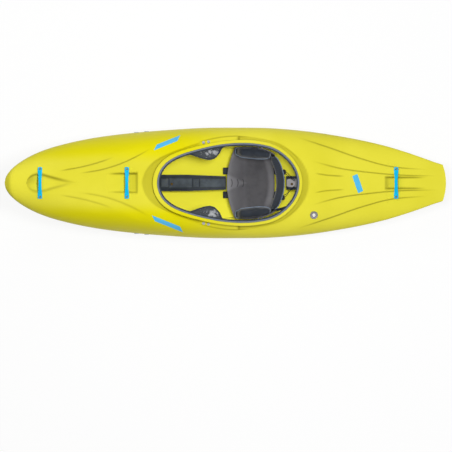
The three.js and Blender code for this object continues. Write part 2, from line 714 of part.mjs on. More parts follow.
// Seat bolts pass through the coaming's neck and a slot in each side of the seat.
const seat_bolt = {
  xs: [on_length(0.075), on_length(0.08333)], z: on_height(0.55717), shank: 4, head: 8,
  head_height: 4, edge: 2, nut: 5, facets: 12,
};
const slot_half_height = seat_bolt.shank + slide_gap;
seat_bolt.xs.forEach((x, index) => {
  for (const [side, name] of [[-1, "port"], [1, "starboard"]]) {
    const head_face = egg_y(x - seat_bolt.head) + neck_out + fit_gap;
    const nut_face = seat_half(x + seat_travel) - seat.side_clearance;
    const body = turned([
      [0, nut_face - seat_bolt.nut], [seat_bolt.head, nut_face - seat_bolt.nut],
      [seat_bolt.head, nut_face], [seat_bolt.shank, nut_face],
      [seat_bolt.shank, head_face], [seat_bolt.head, head_face],
      [seat_bolt.head, head_face + seat_bolt.head_height - seat_bolt.edge],
      [seat_bolt.head - seat_bolt.edge, head_face + seat_bolt.head_height],
      [0, head_face + seat_bolt.head_height],
    ], seat_bolt.facets).rotate([-90 * side, 0, 0]).translate([x, 0, seat_bolt.z]);
    const hole = turned([[0, nut_face], [seat_bolt.shank + fit_gap, nut_face],
      [seat_bolt.shank + fit_gap, head_face + overrun], [0, head_face + overrun],
    ], seat_bolt.facets).rotate([-90 * side, 0, 0]).translate([x, 0, seat_bolt.z]);
    shell = shell.subtract(hole);
    add(`seat_bolt_${name}_${index + 1}`, body, bright_steel);
  }
});
seat_pan = seat_pan.subtract(block(
  seat_bolt.xs[0] - seat_travel - slot_half_height,
  seat_bolt.xs[1] + seat_travel + slot_half_height,
  -beam / 2, beam / 2, seat_bolt.z - slot_half_height, seat_bolt.z + slot_half_height));

// A soft form between two corners, swollen in the middle and drawn in at its ends.
const pad_steps = 10;
const pad_sides = 14;
const pad_roundness = 4;
const pad_end_share = 0.995; // the first ring stands just short of the tip
function cushion(x0, x1, y0, y1, z0, z1) {
  const rings = [];
  const roundness = pad_roundness;
  for (let i = 0; i <= pad_steps; i += 1) {
    const part = -pad_end_share * Math.cos((Math.PI * i) / pad_steps);
    const swell = (1 - Math.abs(part) ** roundness) ** (1 / roundness);
    const ring = [];
    for (let j = 0; j < pad_sides; j += 1) {
      const turn = (2 * Math.PI * (j + 1 / 2)) / pad_sides;
      const round = (value) => Math.sign(value) * Math.abs(value) ** (2 / roundness);
      ring.push([(x0 + x1) / 2 + ((x1 - x0) / 2) * part,
        (y0 + y1) / 2 + ((y1 - y0) / 2) * swell * round(Math.cos(turn)),
        (z0 + z1) / 2 + ((z1 - z0) / 2) * swell * round(Math.sin(turn))]);
    }
    rings.push(ring);
  }
  return skin(rings);
}
const hip = {
  from: on_length(0.0207), to: on_length(0.10185), inner: on_beam(0.213),
  outer: on_beam(0.3284), bottom: on_height(0.1746), top: on_height(0.4948),
};
for (const [side, name] of [[-1, "port"], [1, "starboard"]]) {
  const [a, b] = side < 0 ? [-hip.outer, -hip.inner] : [hip.inner, hip.outer];
  add(`hip_pad_${name}`,
    cushion(hip.from, hip.to, a, b, hip.bottom, hip.top).intersect(seat_room), padding);
}

// Backband: a padded crescent with a stiffener behind it, on two pivot pins.
const band = {
  half_span: on_beam(0.22189), ends_x: on_length(0.10519), middle_x: on_length(0.1237),
  middle_z: on_height(0.4324), half_thickness: 20, end_thickness: 5,
  half_height: on_height(0.1164), end_height: on_height(0.0707), stiffener: 4,
  steps: 20, sides: 14, fullness: 0.6,
};
function band_rings(thicken, back) {
  const rings = [];
  for (let i = 0; i <= band.steps; i += 1) {
    const across = 2 * (i / band.steps) - 1;
    const y = (band.half_span + (back ? thicken : 0)) * across;
    const swell = 1 - across ** 4;
    const x = band.ends_x + (band.middle_x - band.ends_x) * (1 - across ** 2);
    const half = band.end_thickness + (band.half_thickness - band.end_thickness) * swell;
    const tall = band.end_height + (band.half_height - band.end_height) * swell;
    const ring = [];
    if (back) {
      const near = x + half + slide_gap;
      for (const [dx, dz] of [[0, -1], [thicken, -1], [thicken, 1], [0, 1]]) {
        ring.push([near + dx, y, band.middle_z + dz * (tall - thicken)]);
      }
    } else {
      for (let j = 0; j < band.sides; j += 1) {
        const turn = (2 * Math.PI * (j + 1 / 2)) / band.sides;
        const round = (value) => Math.sign(value) * Math.abs(value) ** band.fullness;
        ring.push([x + half * round(Math.cos(turn)), y,
          band.middle_z + tall * round(Math.sin(turn))]);
      }
    }
    rings.push(ring);
  }
  return rings;
}
add("backband_pad", skin(band_rings(0, false)), padding);
const pivot = {
  x: on_length(0.1063), z: on_height(0.26611), radius: 5, lug: 9, below: 10,
  head: 3, head_height: 6, facets: 14,
};
const lug_x = [pivot.x - pivot.lug,
  band.ends_x + band.end_thickness + slide_gap + band.stiffener];
let stiffener = skin(band_rings(band.stiffener, true));
for (const [side, name] of [[-1, "port"], [1, "starboard"]]) {
  const y0 = band.half_span + 2 * slide_gap;
  const y1 = y0 + pivot.lug;
  const [a, b] = side < 0 ? [-y1, -y0] : [y0, y1];
  stiffener = stiffener.add(block(lug_x[0], lug_x[1], a, b,
    pivot.z - pivot.below, band.middle_z + band.end_height - band.stiffener));
  const far = seat_half(pivot.x) + seat.wall;
  const pin_head = pivot.radius + pivot.head;
  const pin = turned([[0, y0 - pivot.head_height], [pin_head, y0 - pivot.head_height],
    [pin_head, y0 - slide_gap], [pivot.radius, y0 - slide_gap], [pivot.radius, far],
    [0, far]], pivot.facets);
  const hole = turned([[0, y0 - 2 * slide_gap], [pivot.radius + fit_gap, y0 - 2 * slide_gap],
    [pivot.radius + fit_gap, far + overrun], [0, far + overrun]], pivot.facets);
  const place = (body) => body.rotate([-90 * side, 0, 0]).translate([pivot.x, 0, pivot.z]);
  stiffener = stiffener.subtract(place(hole));
  seat_pan = seat_pan.subtract(place(hole));
  add(`backband_pin_${name}`, place(pin), bright_steel);
}
add("backband_stiffener", stiffener, rail_plastic);
add("seat_pan", seat_pan, seat_plastic);

// Buckles behind the backband, each with its cord back to the rear block.
const buckle = { height: 26, thick: 9, width: 34, z: on_height(0.4262) };
const buckle_places = [[on_beam(0.09911), "starboard"], [on_beam(-0.13314), "port"]];
const cord = { radius: 2, start_share: 0.9, end_share: 0.25, straight: 7, steps: 10, turns: 4 };
const band_back = (y) => {
  const across = y / band.half_span;
  return band.ends_x + (band.middle_x - band.ends_x) * (1 - across ** 2)
    + band.end_thickness + (band.half_thickness - band.end_thickness) * (1 - across ** 4)
    + slide_gap + band.stiffener;
};
for (const [y, name] of buckle_places) {
  const face = band_back(Math.abs(y) - buckle.width / 2) + slide_gap + fit_gap;
  add(`backband_buckle_${name}`, block(face, face + buckle.thick, y - buckle.width / 2,
    y + buckle.width / 2, buckle.z - buckle.height / 2, buckle.z + buckle.height / 2),
  rail_plastic);
  const from = new THREE.Vector3(face + buckle.thick + slide_gap, y * cord.start_share,
    buckle.z);
  const to = new THREE.Vector3(rear_block.from - slide_gap, y * cord.end_share,
    rear_rail.top + rear_block.height / 2);
  const out = new THREE.Vector3(cord.straight, 0, 0);
  const route = new THREE.CatmullRomCurve3([from, from.clone().add(out),
    from.clone().lerp(to, 1 / 2), to.clone().sub(out), to]);
  const circle = new THREE.Shape().absarc(0, 0, cord.radius, 0, 2 * Math.PI);
  add(`backband_cord_${name}`, solid(new THREE.ExtrudeGeometry(circle, {
    extrudePath: route, steps: cord.steps, curveSegments: cord.turns, bevelEnabled: false,
  })), padding);
}

// Thigh braces: hooked plates under the deck, on two bolts each through slots.
const brace = {
  thickness: 8, travel: 15, shank: 4, head: 9.5, head_height: 4, head_lift: 1.5,
  edge: 3, nut: 7, nut_edge: 2, under_deck: 4, room_drop: 2, facets: 14,
};
const brace_bolt_shares = [[-0.04926, 0.36391], [-0.03815, 0.3713]];
const brace_outline_shares = [
  [-0.087, 0.3728], [-0.087, 0.2663], [-0.0663, 0.2367], [-0.0493, 0.2145],
  [-0.0352, 0.2056], [-0.0248, 0.2175], [-0.0133, 0.2633], [-0.0067, 0.3151],
  [-0.0022, 0.3328], [-0.0022, 0.3876], [-0.0444, 0.3935],
];
const in_plan = ([x_share, y_share]) => [on_length(x_share), on_beam(y_share)];
const brace_ref = on_length(-0.04444);
const brace_edge_y = on_beam(0.355);
const brace_reach = on_length(0.02222);
const brace_slope = (deck_z(brace_ref + brace_reach, brace_edge_y)
  - deck_z(brace_ref - brace_reach, brace_edge_y)) / (2 * brace_reach);
function sloped(body, z) {
  const shear = new THREE.Matrix4().set(1, 0, 0, 0, 0, 1, 0, 0,
    brace_slope, 0, 1, z - brace_slope * brace_ref, 0, 0, 0, 1);
  return body.transform(shear.elements);
}
const brace_top = deck_z(brace_ref, on_beam(0.3787)) - moat.depth - wall
  - brace.under_deck;
const brace_room = [-1, 1].map((way) => inner_room.translate(
  [way * brace.travel, 0, way * brace.travel * brace_slope - brace.room_drop]));
for (const [side, name] of [[-1, "port"], [1, "starboard"]]) {
  const outline = brace_outline_shares.map(in_plan).map(([x, y]) => [x, side * y]);
  if (side > 0) outline.reverse();
  let plate = sloped(raised(outline, -brace.thickness, 0), brace_top)
    .intersect(brace_room[0]).intersect(brace_room[1]);
  brace_bolt_shares.map(in_plan).forEach(([x, y], index) => {
    const slot_half = brace.shank + slide_gap;
    const slot_end = brace.travel + slot_half;
    plate = plate.subtract(block(x - slot_end, x + slot_end, side * y - slot_half,
      side * y + slot_half, 0, height));
    const head_z = deck_z(x, y) + brace.head_lift;
    const plate_z = brace_top + brace_slope * (x - brace_ref) - brace.thickness;
    const nut_z = plate_z - Math.abs(brace_slope) * brace.head - slide_gap;
    const nut = brace.head - brace.nut_edge;
    const head_top = head_z + brace.head_height;
    const on_place = (profile) => turned(profile, brace.facets).translate([x, side * y, 0]);
    const bolt = on_place([
      [0, nut_z - brace.nut], [nut, nut_z - brace.nut], [nut, nut_z],
      [brace.shank, nut_z], [brace.shank, head_z], [brace.head, head_z],
      [brace.head, head_z + brace.head_height / 2], [brace.head - brace.edge, head_top],
      [0, head_top],
    ]).subtract(above_deck.subtract(on_place([
      [0, 0], [brace.shank, 0], [brace.shank, height], [0, height]])));
    shell = shell.subtract(on_place([[0, nut_z], [brace.shank + fit_gap, nut_z],
      [brace.shank + fit_gap, head_z], [0, head_z]]));
    add(`thigh_brace_bolt_${name}_${index + 1}`, bolt, bright_steel);
  });
  add(`thigh_brace_${name}`, plate, rail_plastic);
}

// Footrest: a plate with a foam face that slides along two straight rails.
const track = {
  from: on_length(-0.27407), to: on_length(-0.16667), inner: on_beam(0.38166), thick: 10,
  low: on_height(0.34511), high: on_height(0.39501), boss: 10, boss_in: 2, floor: 3,
  facets: 14,
};
const track_bolt_shares = [[-0.20111, 0.37838], [-0.17815, 0.36175]];
const foot = {
  x: on_length(-0.24259), plate: 8, foam: 20, foam_inset: 14, travel: 60,
  low: on_height(0.20374), high: on_height(0.68607), shoe: 44, shoe_wall: 6,
  shoe_back: 4, shoe_side: 3, edge_gap: 1,
};
const foot_clear = wall + foot.shoe_wall;
const foot_room = hull_form(cavity_first_share, cavity_last_share, foot_clear, inner_rings);
const swept = foot_room.translate([foot.travel, 0, 0])
  .intersect(foot_room.translate([-foot.travel, 0, 0]))
  .intersect(foot_room);
const track_bolt = { shank: 4, head: 15, head_height: 4, edge: 4, rim: 1, sunk: 8, facets: 16 };
const track_bolts = track_bolt_shares.map(([x_share, z_share]) =>
  [on_length(x_share), on_height(z_share)]);
const shoes = [];
for (const [side, name] of [[-1, "port"], [1, "starboard"]]) {
  const sided = (y0, y1) => (side < 0 ? [-y1, -y0] : [y0, y1]);
  const [a, b] = sided(track.inner, track.inner + track.thick);
  let bar = block(track.from, track.to, a, b, track.low, track.high)
    .intersect(inner_room);
  const boss_base = track.inner + track.boss_in;
  for (const [x, z] of track_bolts) {
    const turn_out = (body) => body.rotate([-90 * side, 0, 0]).translate([x, 0, z]);
    const boss = turn_out(turned([[0, boss_base], [track.boss, boss_base],
      [track.boss, beam / 2], [0, beam / 2]], track.facets)).intersect(inner_room);
    bar = bar.add(boss);
  }
  track_bolts.forEach(([x, z], index) => {
    const turn_out = (body) => body.rotate([-90 * side, 0, 0]).translate([x, 0, z]);
    const share = share_at(x);
    const rise = (z - height * seam_of(share)) / (height * (crown_of(share) - seam_of(share)));
    const out = half_beam(share) * (1 - rise ** 2) ** (1 / boxiness_of(share));
    const bore = track_bolt.shank + fit_gap;
    const hole_from = (start) => turn_out(turned([[0, start], [bore, start],
      [bore, beam / 2], [0, beam / 2]], track.facets));
    shell = shell.subtract(hole_from(track.inner));
    bar = bar.subtract(hole_from(track.inner + track.floor));
    const outside = outer_form.translate([0, side * fit_gap, 0]);
    const head_top = out + track_bolt.head_height;
    const head = turn_out(turned([[0, out - track_bolt.sunk],
      [track_bolt.head, out - track_bolt.sunk], [track_bolt.head, out + track_bolt.rim],
      [track_bolt.head - track_bolt.edge, head_top], [0, head_top],
    ], track_bolt.facets)).subtract(outside);
    const shank_end = track.inner + track.floor + fit_gap;
    const shank = turn_out(turned([[0, shank_end], [track_bolt.shank, shank_end],
      [track_bolt.shank, head_top - track_bolt.rim], [0, head_top - track_bolt.rim],
    ], track.facets));
    add(`footrest_bolt_${name}_${index + 1}`, head.add(shank), bright_steel);
  });
  add(`footrest_rail_${name}`, bar, rail_plastic);
  const [c, d] = sided(track.inner - foot.shoe_wall - slide_gap,
    track.inner + track.thick + slide_gap + foot.shoe_side);
  const [e, f] = sided(track.inner - slide_gap, track.inner + track.thick + slide_gap);
  const shoe_x = foot.x - foot.shoe_back;
  shoes.push(block(shoe_x, shoe_x + foot.shoe, c, d,
    track.low - foot.shoe_wall, track.high + foot.shoe_wall)
    .subtract(block(foot.x - foot.shoe, foot.x + 2 * foot.shoe, e, f,
      track.low - slide_gap, track.high + slide_gap)));
}
const plate_edge = track.inner - slide_gap - foot.edge_gap;
let foot_plate = block(foot.x, foot.x + foot.plate, -plate_edge, plate_edge, foot.low, foot.high)
  .intersect(swept);
for (const shoe of shoes) foot_plate = foot_plate.add(shoe);
add("footrest_plate", foot_plate, rail_plastic);
add("footrest_foam", block(foot.x + foot.plate + fit_gap,
  foot.x + foot.plate + foot.foam, foot.foam_inset - plate_edge,
  plate_edge - foot.foam_inset, foot.low + foot.foam_inset,
  foot.high - foot.foam_inset).intersect(swept), padding);

add("hull_shell", shell, moulded_yellow);

export default kayak;
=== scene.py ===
# A whitewater kayak: its moulded shell, outfitting and fittings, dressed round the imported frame.
# Metres, +Z up, bow at -X, port at -Y. Sizes in millimetres are turned into metres by MM.

import math

import bmesh
import bpy
import numpy as np
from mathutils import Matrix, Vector
from mathutils.bvhtree import BVHTree


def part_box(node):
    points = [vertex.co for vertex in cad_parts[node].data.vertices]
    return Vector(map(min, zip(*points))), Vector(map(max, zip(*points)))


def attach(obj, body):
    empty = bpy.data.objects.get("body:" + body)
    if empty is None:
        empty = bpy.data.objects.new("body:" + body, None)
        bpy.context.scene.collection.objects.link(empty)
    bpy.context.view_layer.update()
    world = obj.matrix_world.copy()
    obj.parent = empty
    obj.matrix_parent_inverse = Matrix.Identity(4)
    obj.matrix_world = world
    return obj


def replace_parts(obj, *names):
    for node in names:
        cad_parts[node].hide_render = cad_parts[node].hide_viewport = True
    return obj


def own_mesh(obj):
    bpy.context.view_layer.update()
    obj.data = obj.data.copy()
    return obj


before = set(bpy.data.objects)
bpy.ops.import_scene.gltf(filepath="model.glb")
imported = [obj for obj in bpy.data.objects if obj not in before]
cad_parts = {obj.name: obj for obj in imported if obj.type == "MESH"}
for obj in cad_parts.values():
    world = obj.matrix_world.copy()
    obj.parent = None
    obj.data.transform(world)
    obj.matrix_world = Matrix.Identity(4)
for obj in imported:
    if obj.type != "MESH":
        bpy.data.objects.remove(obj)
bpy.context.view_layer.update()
MM = 0.001


# Studio: a white floor, a soft lamp overhead that lights the cockpit's inside, one from the upper
# left, a weak one opposite, and an even pale world. The camera looks straight down, with the boat
# in the upper part of the frame.
WORLD_AS_LIGHT, WORLD_AS_SEEN = 0.22, 0.95
VIEW_WIDTH, VIEW_FROM = 2.765, (0.004, -0.2635, 4.0)


def placed(name, data):
    """A new object in the scene."""
    made = bpy.data.objects.new(name, data)
    bpy.context.scene.collection.objects.link(made)
    return made


def srgb(red, green, blue):
    """A colour as it is seen, 0 to 255 a channel, as the linear numbers that a socket takes."""
    seen = np.array([red, green, blue]) / 255
    linear = np.where(seen <= 0.04045, seen / 12.92, ((seen + 0.055) / 1.055) ** 2.4)
    return (*linear.tolist(), 1.0)


eye = bpy.data.cameras.new("camera_from_above")
eye.type = "ORTHO"
eye.ortho_scale = VIEW_WIDTH
eye.clip_end = 20
viewer = placed("camera_from_above", eye)
viewer.location = VIEW_FROM
bpy.context.scene.camera = viewer
bpy.context.scene.view_settings.view_transform = "Standard"


def lamp(name, place, target, size, power, mirrored=True):
    """A square soft lamp at a place, turned to a target; unless mirrored, no gloss shows it."""
    light = bpy.data.lights.new(name, "AREA")
    light.size, light.energy = size, power
    holder = placed(name, light)
    holder.location = place
    holder.rotation_euler = (Vector(target) - Vector(place)).to_track_quat("-Z", "Y").to_euler()
    holder.visible_glossy = mirrored


MIDDLE = (0, 0, 0.2)
lamp("overhead_lamp", (0.5, 0.3, 5.6), MIDDLE, 1.3, 236, mirrored=False)
lamp("key_lamp", (-1.8, 2.4, 3.2), MIDDLE, 1.8, 33)
lamp("side_lamp", (2.2, -2.6, 2.4), MIDDLE, 2.0, 10)

world = bpy.data.worlds.new("studio")
world.use_nodes = True
bpy.context.scene.world = world
sky = world.node_tree.nodes["Background"]
sky.inputs["Color"].default_value = (1, 1, 1, 1)
rays = world.node_tree.nodes.new("ShaderNodeLightPath")
direct = rays.outputs["Is Camera Ray"]
for kind in ("Is Glossy Ray", "Is Transmission Ray"):
    either = world.node_tree.nodes.new("ShaderNodeMath")
    either.operation = "MAXIMUM"
    world.node_tree.links.new(direct, either.inputs[0])
    world.node_tree.links.new(rays.outputs[kind], either.inputs[1])
    direct = either.outputs[0]
level = world.node_tree.nodes.new("ShaderNodeMapRange")  # dim as light, white where it is seen
level.inputs["To Min"].default_value = WORLD_AS_LIGHT
level.inputs["To Max"].default_value = WORLD_AS_SEEN
world.node_tree.links.new(direct, level.inputs["Value"])
world.node_tree.links.new(level.outputs["Result"], sky.inputs["Strength"])


# Shell: hull, deck, moat, recesses and coaming in one moulding of yellow polyethylene. It is
# turned in a heated mould, so every edge is soft and the skin has a faint grain; the bottom
# carries the light scuffs of launching.
LENGTH, BEAM, HEIGHT, WALL = 2700.0, 676.0, 481.0, 6.0
KEEL = [(0, .938), (.012, .81), (.026, .728), (.053, .598), (.08, .491), (.107, .401),
        (.148, .286), (.202, .17), (.27, .079), (.325, .038), (.38, .016), (.42, .005),
        (.455, 0), (.5, 0), (.545, 0), (.6, .009), (.665, .036), (.719, .076), (.773, .14),
        (.828, .219), (.882, .304), (.937, .38), (1, .443)]
CHINE = [(0, .938), (.012, .84), (.026, .765), (.053, .64), (.08, .53), (.107, .437),
         (.148, .335), (.216, .22), (.284, .15), (.352, .118), (.443, .095), (.533, .093),
         (.624, .104), (.714, .15), (.805, .226), (.896, .342), (1, .452)]
SEAM = [(0, .938), (.012, .9), (.026, .84), (.053, .715), (.08, .615), (.107, .545),
        (.148, .475), (.216, .398), (.284, .341), (.352, .309), (.443, .284), (.533, .277),
        (.624, .262), (.714, .266), (.805, .308), (.896, .388), (1, .466)]
CROWN = [(0, .938), (.013, .998), (.028, .977), (.057, .944), (.091, .902), (.146, .871),
         (.177, .863), (.207, .865), (.282, .884), (.327, .872), (.36, .835), (.396, .785),
         (.458, .69), (.5, .62), (.549, .562), (.6, .54), (.64, .535), (.687, .545),
         (.708, .543), (.735, .522), (.775, .491), (.83, .464), (.868, .453), (.907, .462),
         (.961, .48), (1, .493)]
FULLNESS = [(0, 4), (.07, 4.03), (.14, 3.63), (.21, 3.24), (.27, 2.92), (.32, 2.685),
            (.375, 2.457), (.45, 2.2), (.53, 1.887), (.592, 1.669), (.6465, 1.44),
            (.7, 1.205), (.755, .959), (.81, .73), (.864, .516), (.918, .321), (.973, .161),
            (1, .108)]
BOXINESS = [(0, 2), (.1, 2.2), (.2, 2.7), (.3, 4), (.38, 5.5), (.46, 6.5), (.6, 6),
            (.68, 4.4), (.76, 3), (.86, 2.4), (1, 2.2)]
EGG = [(-1, 1.09), (-.75, .975), (-.5, .935), (0, .995), (.4, 1.085), (.7, 1.175), (.9, 1.185),
       (1, 1.2)]
LIP_TOP = [(.3, .895), (.334, .9), (.368, .89), (.395, .863), (.422, .83), (.449, .788),
           (.477, .744), (.504, .701), (.531, .659), (.558, .632), (.585, .607), (.612, .597),
           (.67, .59), (.7, .59)]
OPENING_LENGTH, OPENING_WIDTH, OPENING_MIDDLE = 835.0, 447.0, 18.0
FLAT, CHINE_WIDTH = 105.0, .87
STERN_ARC, STERN_ARC_FROM = 20.0, .86
SIDES = (("port", -1), ("starboard", 1))


def through(pairs):
    """A smooth curve through pairs of numbers: between two of them it is the cubic whose slope
    at each is the mean of the slopes of the two straight lines that meet there."""
    places, values = np.array(pairs, float).T
    lines = np.diff(values) / np.diff(places)
    slopes = (np.append(lines[0], lines) + np.append(lines, lines[-1])) / 2

    def at(where):
        where = np.clip(np.asarray(where, float), places[0], places[-1])
        after = np.clip(np.searchsorted(places, where, side="right"), 1, len(places) - 1)
        before = after - 1
        step = places[after] - places[before]
        p = (where - places[before]) / step
        return (values[before] + (values[after] - values[before]) * p * p * (3 - 2 * p)
                + slopes[before] * step * p * (1 - p) ** 2
                - slopes[after] * step * p * p * (1 - p))

    return at


keel_of, chine_of, seam_of, crown_of = map(through, (KEEL, CHINE, SEAM, CROWN))
fullness_of, boxiness_of, egg_of, lip_of = map(through, (FULLNESS, BOXINESS, EGG, LIP_TOP))


def half_beam(share):
    """Half the beam at a share of the length, by the root of the share times its fullness."""
    return BEAM / 2 * np.sqrt(np.maximum(share * fullness_of(share), 0))


def smooth(part):
    """0 below 0, 1 above 1, and the cubic 3p2 - 2p3 between."""
    p = np.clip(part, 0, 1)
    return p * p * (3 - 2 * p)


def deck_z(x, y):
    """Plain height of the deck: from the seam up to the crown by the root of 1 - out^p, where
    out is the share of the half beam and p the boxiness there."""
    share = np.asarray(x, float) / LENGTH + .5
    seam, crown = HEIGHT * seam_of(share), HEIGHT * crown_of(share)
    out = np.clip(np.abs(y) / half_beam(share), 0, 1)
    return seam + (crown - seam) * np.sqrt(1 - out ** boxiness_of(share))


def egg_point(turn, grow):
    """A place on the cockpit's egg, moved out along its normal: x from the middle by the cosine
    of the turn, y by the sine times the egg's own width there."""
    def on(angle):
        return np.array([OPENING_MIDDLE - OPENING_LENGTH / 2 * np.cos(angle),
                         OPENING_WIDTH / 2 * np.sin(angle) * egg_of(-np.cos(angle))])
    place, slope = on(turn), on(turn + 1e-3) - on(turn - 1e-3)
    return place + grow * np.array([-slope[1], slope[0]]) / np.hypot(*slope)


def egg_reach(x, y):
    """How far a place in plan lies outside the cockpit's egg, and its share of the half turn from
    the bow: both go by its own ray from the egg's middle."""
    turn = np.linspace(0, math.pi, 241)
    edge_x, edge_y = egg_point(turn, 0)
    edge_angle = np.arctan2(edge_y, OPENING_MIDDLE - edge_x)
    angle = np.arctan2(np.abs(y), OPENING_MIDDLE - x)
    edge = np.interp(angle, edge_angle, np.hypot(edge_x - OPENING_MIDDLE, edge_y))
    return np.hypot(x - OPENING_MIDDLE, y) - edge, np.interp(angle, edge_angle, turn) / math.pi


# The moat round the coaming, where the spray deck's edge lies. First number: share of the half
# turn from the bow. Second: its reach outside the egg, as a share of the beam.
MOAT_REACH = [(0, .1657), (.11, .145), (.25, .1036), (.5, .0917), (.75, .0976), (.89, .1095),
              (1, .1139)]
MOAT_DEPTH, MOAT_SLOPE = 7.0, 14.0
moat_of = through(MOAT_REACH)
LEDGE = (-165.0, 78.0)  # a raised pad on each side of the mouth, for the thigh braces' bolts
# Moulded creases in the deck, one side: places along them, and how far the outer side drops.
CREASES = [
    ([(-1025, 72), (-879, 98), (-754, 132), (-676, 160)], 5.0),
    ([(-905, 57), (-754, 82), (-629, 122), (-504, 183), (-440, 222)], 6.0),
    ([(425, 285), (640, 214), (824, 150), (1008, 101), (1253, 80)], 5.0),
    ([(518, 138), (702, 89), (885, 64), (1069, 48), (1310, 43)], 4.5),
    ([(543, 61), (610, 49), (735, 40)], -4.0),
]
# The bow's finger recess is a long drop: where it starts and ends, half width, depth, fullest.
DROP_RECESS = (-1216.0, -889.0, 62.0, 17.0, .25)
# The other two are channels that deepen from one end to a wall: shallow end, wall, half width,
# depth at the wall.
CHANNELS = [(-730.0, -538.0, 61.0, 24.0), (1240.0, 984.0, 38.0, 14.4)]


def ledge_at(x):
    """How much of the ledge there is at a place along the boat: it ramps up at both its ends."""
    return smooth((x - LEDGE[0]) / 26) * smooth((LEDGE[1] - x) / 7)


def crease_at(points, x, away, first, last):
    """How far outside a crease a place lies, and how much of the crease there is: it fades in
    over the first share of its run and out over the last."""
    start, end = points[0][0], points[-1][0]
    run = end - start
    return (away - through(points)(x),
            smooth((x - start) / (first * run)) * smooth((end - x) / (last * run)))


def drop_at(x):
    """The share of the bow recess's run at a place, how near that is to its fullest place, and
    the share of its width there: by a circle ahead of it and by the power 1.2 behind it."""
    start, end, *_, fullest = DROP_RECESS
    part = np.clip((x - start) / (end - start), 0, 1)
    near = np.where(part < fullest, part / fullest, (1 - part) / (1 - fullest))
    return part, near, np.where(part < fullest, np.sqrt(1 - (1 - near) ** 2), near ** 1.2)


def deck_form(x, y):
    """Height of the deck with what is moulded into it: lowered in the moat round the mouth but
    not on the ledges, stepped down outside each crease, and hollowed at the finger recesses."""
    z, away = deck_z(x, y), np.abs(y)
    reach, half_turns = egg_reach(x, y)
    moat = smooth((BEAM * moat_of(half_turns) - reach) / MOAT_SLOPE)
    steepness = smooth((half_beam(x / LENGTH + .5) - away) / 30)
    z = z - MOAT_DEPTH * moat * (1 - ledge_at(x)) * steepness
    for points, drop in CREASES:
        off, here = crease_at(points, x, away, .25, .3)
        fall = smooth(off / 10 + .5) * (1 - smooth(off / 75))
        z = z - drop * here * fall * (1 - moat) * steepness
    _, near, swell = drop_at(x)
    out = np.clip(away / np.maximum(DROP_RECESS[2] * swell, 1e-6), 0, 1)
    sunk = DROP_RECESS[3] * swell * np.sqrt(1 - out ** 2)
    z = np.where((out < 1) & (near > 0), np.minimum(z, deck_z(x, 0 * y) - sunk), z)
    for start, end, half_width, depth in CHANNELS:
        part = (x - start) / (end - start)
        before_wall = smooth((1.0 - part) * abs(end - start) / 9)
        side = smooth((half_width + 2 - away) / 10)
        floor_ = deck_z(x, 0 * y) - depth * np.clip(part, 0, 1) * before_wall
        z = np.where(part > 0, z + np.minimum(floor_ - z, 0) * side * before_wall, z)
    return z


def evenly(rows, count):
    """Each row of points resampled to count points at equal steps of its own length."""
    step = np.linalg.norm(np.diff(rows, axis=1), axis=2)
    run = np.concatenate([np.zeros((len(rows), 1)), np.cumsum(step, axis=1)], axis=1)
    return np.array([[np.interp(np.linspace(0, r[-1], count), r, row[:, k]) for k in range(3)]
                     for r, row in zip(run, rows)]).transpose(0, 2, 1)


def half_sections(share, inset, hole, plain):
    """Half cross-sections in two runs. The first is level across the flat, then goes up to the
    chine by the part^1.6 and straight to the seam. The second goes over the deck by the
    cosine^(2/p) and sine of a turn, ending at the hole's half width. The deck's moulded forms
    are added unless plain: that is the lining, which lies under the moat and the recesses."""
    share, hole = share[:, None], hole[:, None]
    half, boxiness = half_beam(share) - inset, boxiness_of(share)
    keel = HEIGHT * np.maximum(keel_of(share), 0) + inset
    crown = HEIGHT * crown_of(share) - inset
    seam = np.clip(HEIGHT * seam_of(share), keel, crown)
    chine = np.clip(HEIGHT * chine_of(share) + inset / 2, keel, crown)
    chine_y = half * CHINE_WIDTH
    flat = np.minimum(FLAT, chine_y / 2)
    part = np.linspace(0, 1, 25)[None, :]
    bottom_y = np.concatenate([flat * part, flat + (chine_y - flat) * part,
                               chine_y + (half - chine_y) * part], axis=1)
    bottom_z = np.concatenate([keel + 0 * part, keel + (chine - keel) * part ** 1.6,
                               chine + (seam - chine) * part], axis=1)
    turn = np.linspace(0, 1, 161)[None, :]
    most = np.arccos(np.clip(hole / half, 0, 1) ** (boxiness / 2))
    angle = most * (1 - (1 - turn) ** 1.8)
    deck_y = half * np.maximum(np.cos(angle), 1e-12) ** (2 / boxiness)
    deck_y[:, -1:] = hole
    deck_height = seam + (crown - seam) * np.sin(angle)
    x = (share - .5) * LENGTH
    if plain:
        deck_height = deck_height - MOAT_DEPTH * smooth(3 * np.sin(angle))
        for start, end, half_width, depth, *_ in [DROP_RECESS] + CHANNELS:
            apart = np.abs(x - (start + end) / 2) - abs(end - start) / 2
            under = smooth((70 - apart) / 45) * smooth((half_width + 45 - deck_y) / 35)
            deck_height = deck_height - depth * under
    else:
        deck_height = deck_height + deck_form(x + 0 * deck_y, deck_y) - deck_z(x, deck_y)
    bend = np.maximum(share - STERN_ARC_FROM, 0) / (1 - STERN_ARC_FROM)
    return [np.stack([x - STERN_ARC * bend * (y / half) ** 2, y, z], axis=2)
            for y, z in ((bottom_y, bottom_z), (deck_y, deck_height))]


def mesh_piece(name, points, faces, finish, body="hull"):
    """A mesh of points in millimetres and faces of their numbers, as a piece on a body."""
    mesh = bpy.data.meshes.new(name)
    mesh.from_pydata((np.asarray(points, float) * MM).tolist(), [], faces)
    mesh.update()
    mesh.shade_smooth()
    mesh.materials.append(finish.material)
    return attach(placed(name, mesh), body)


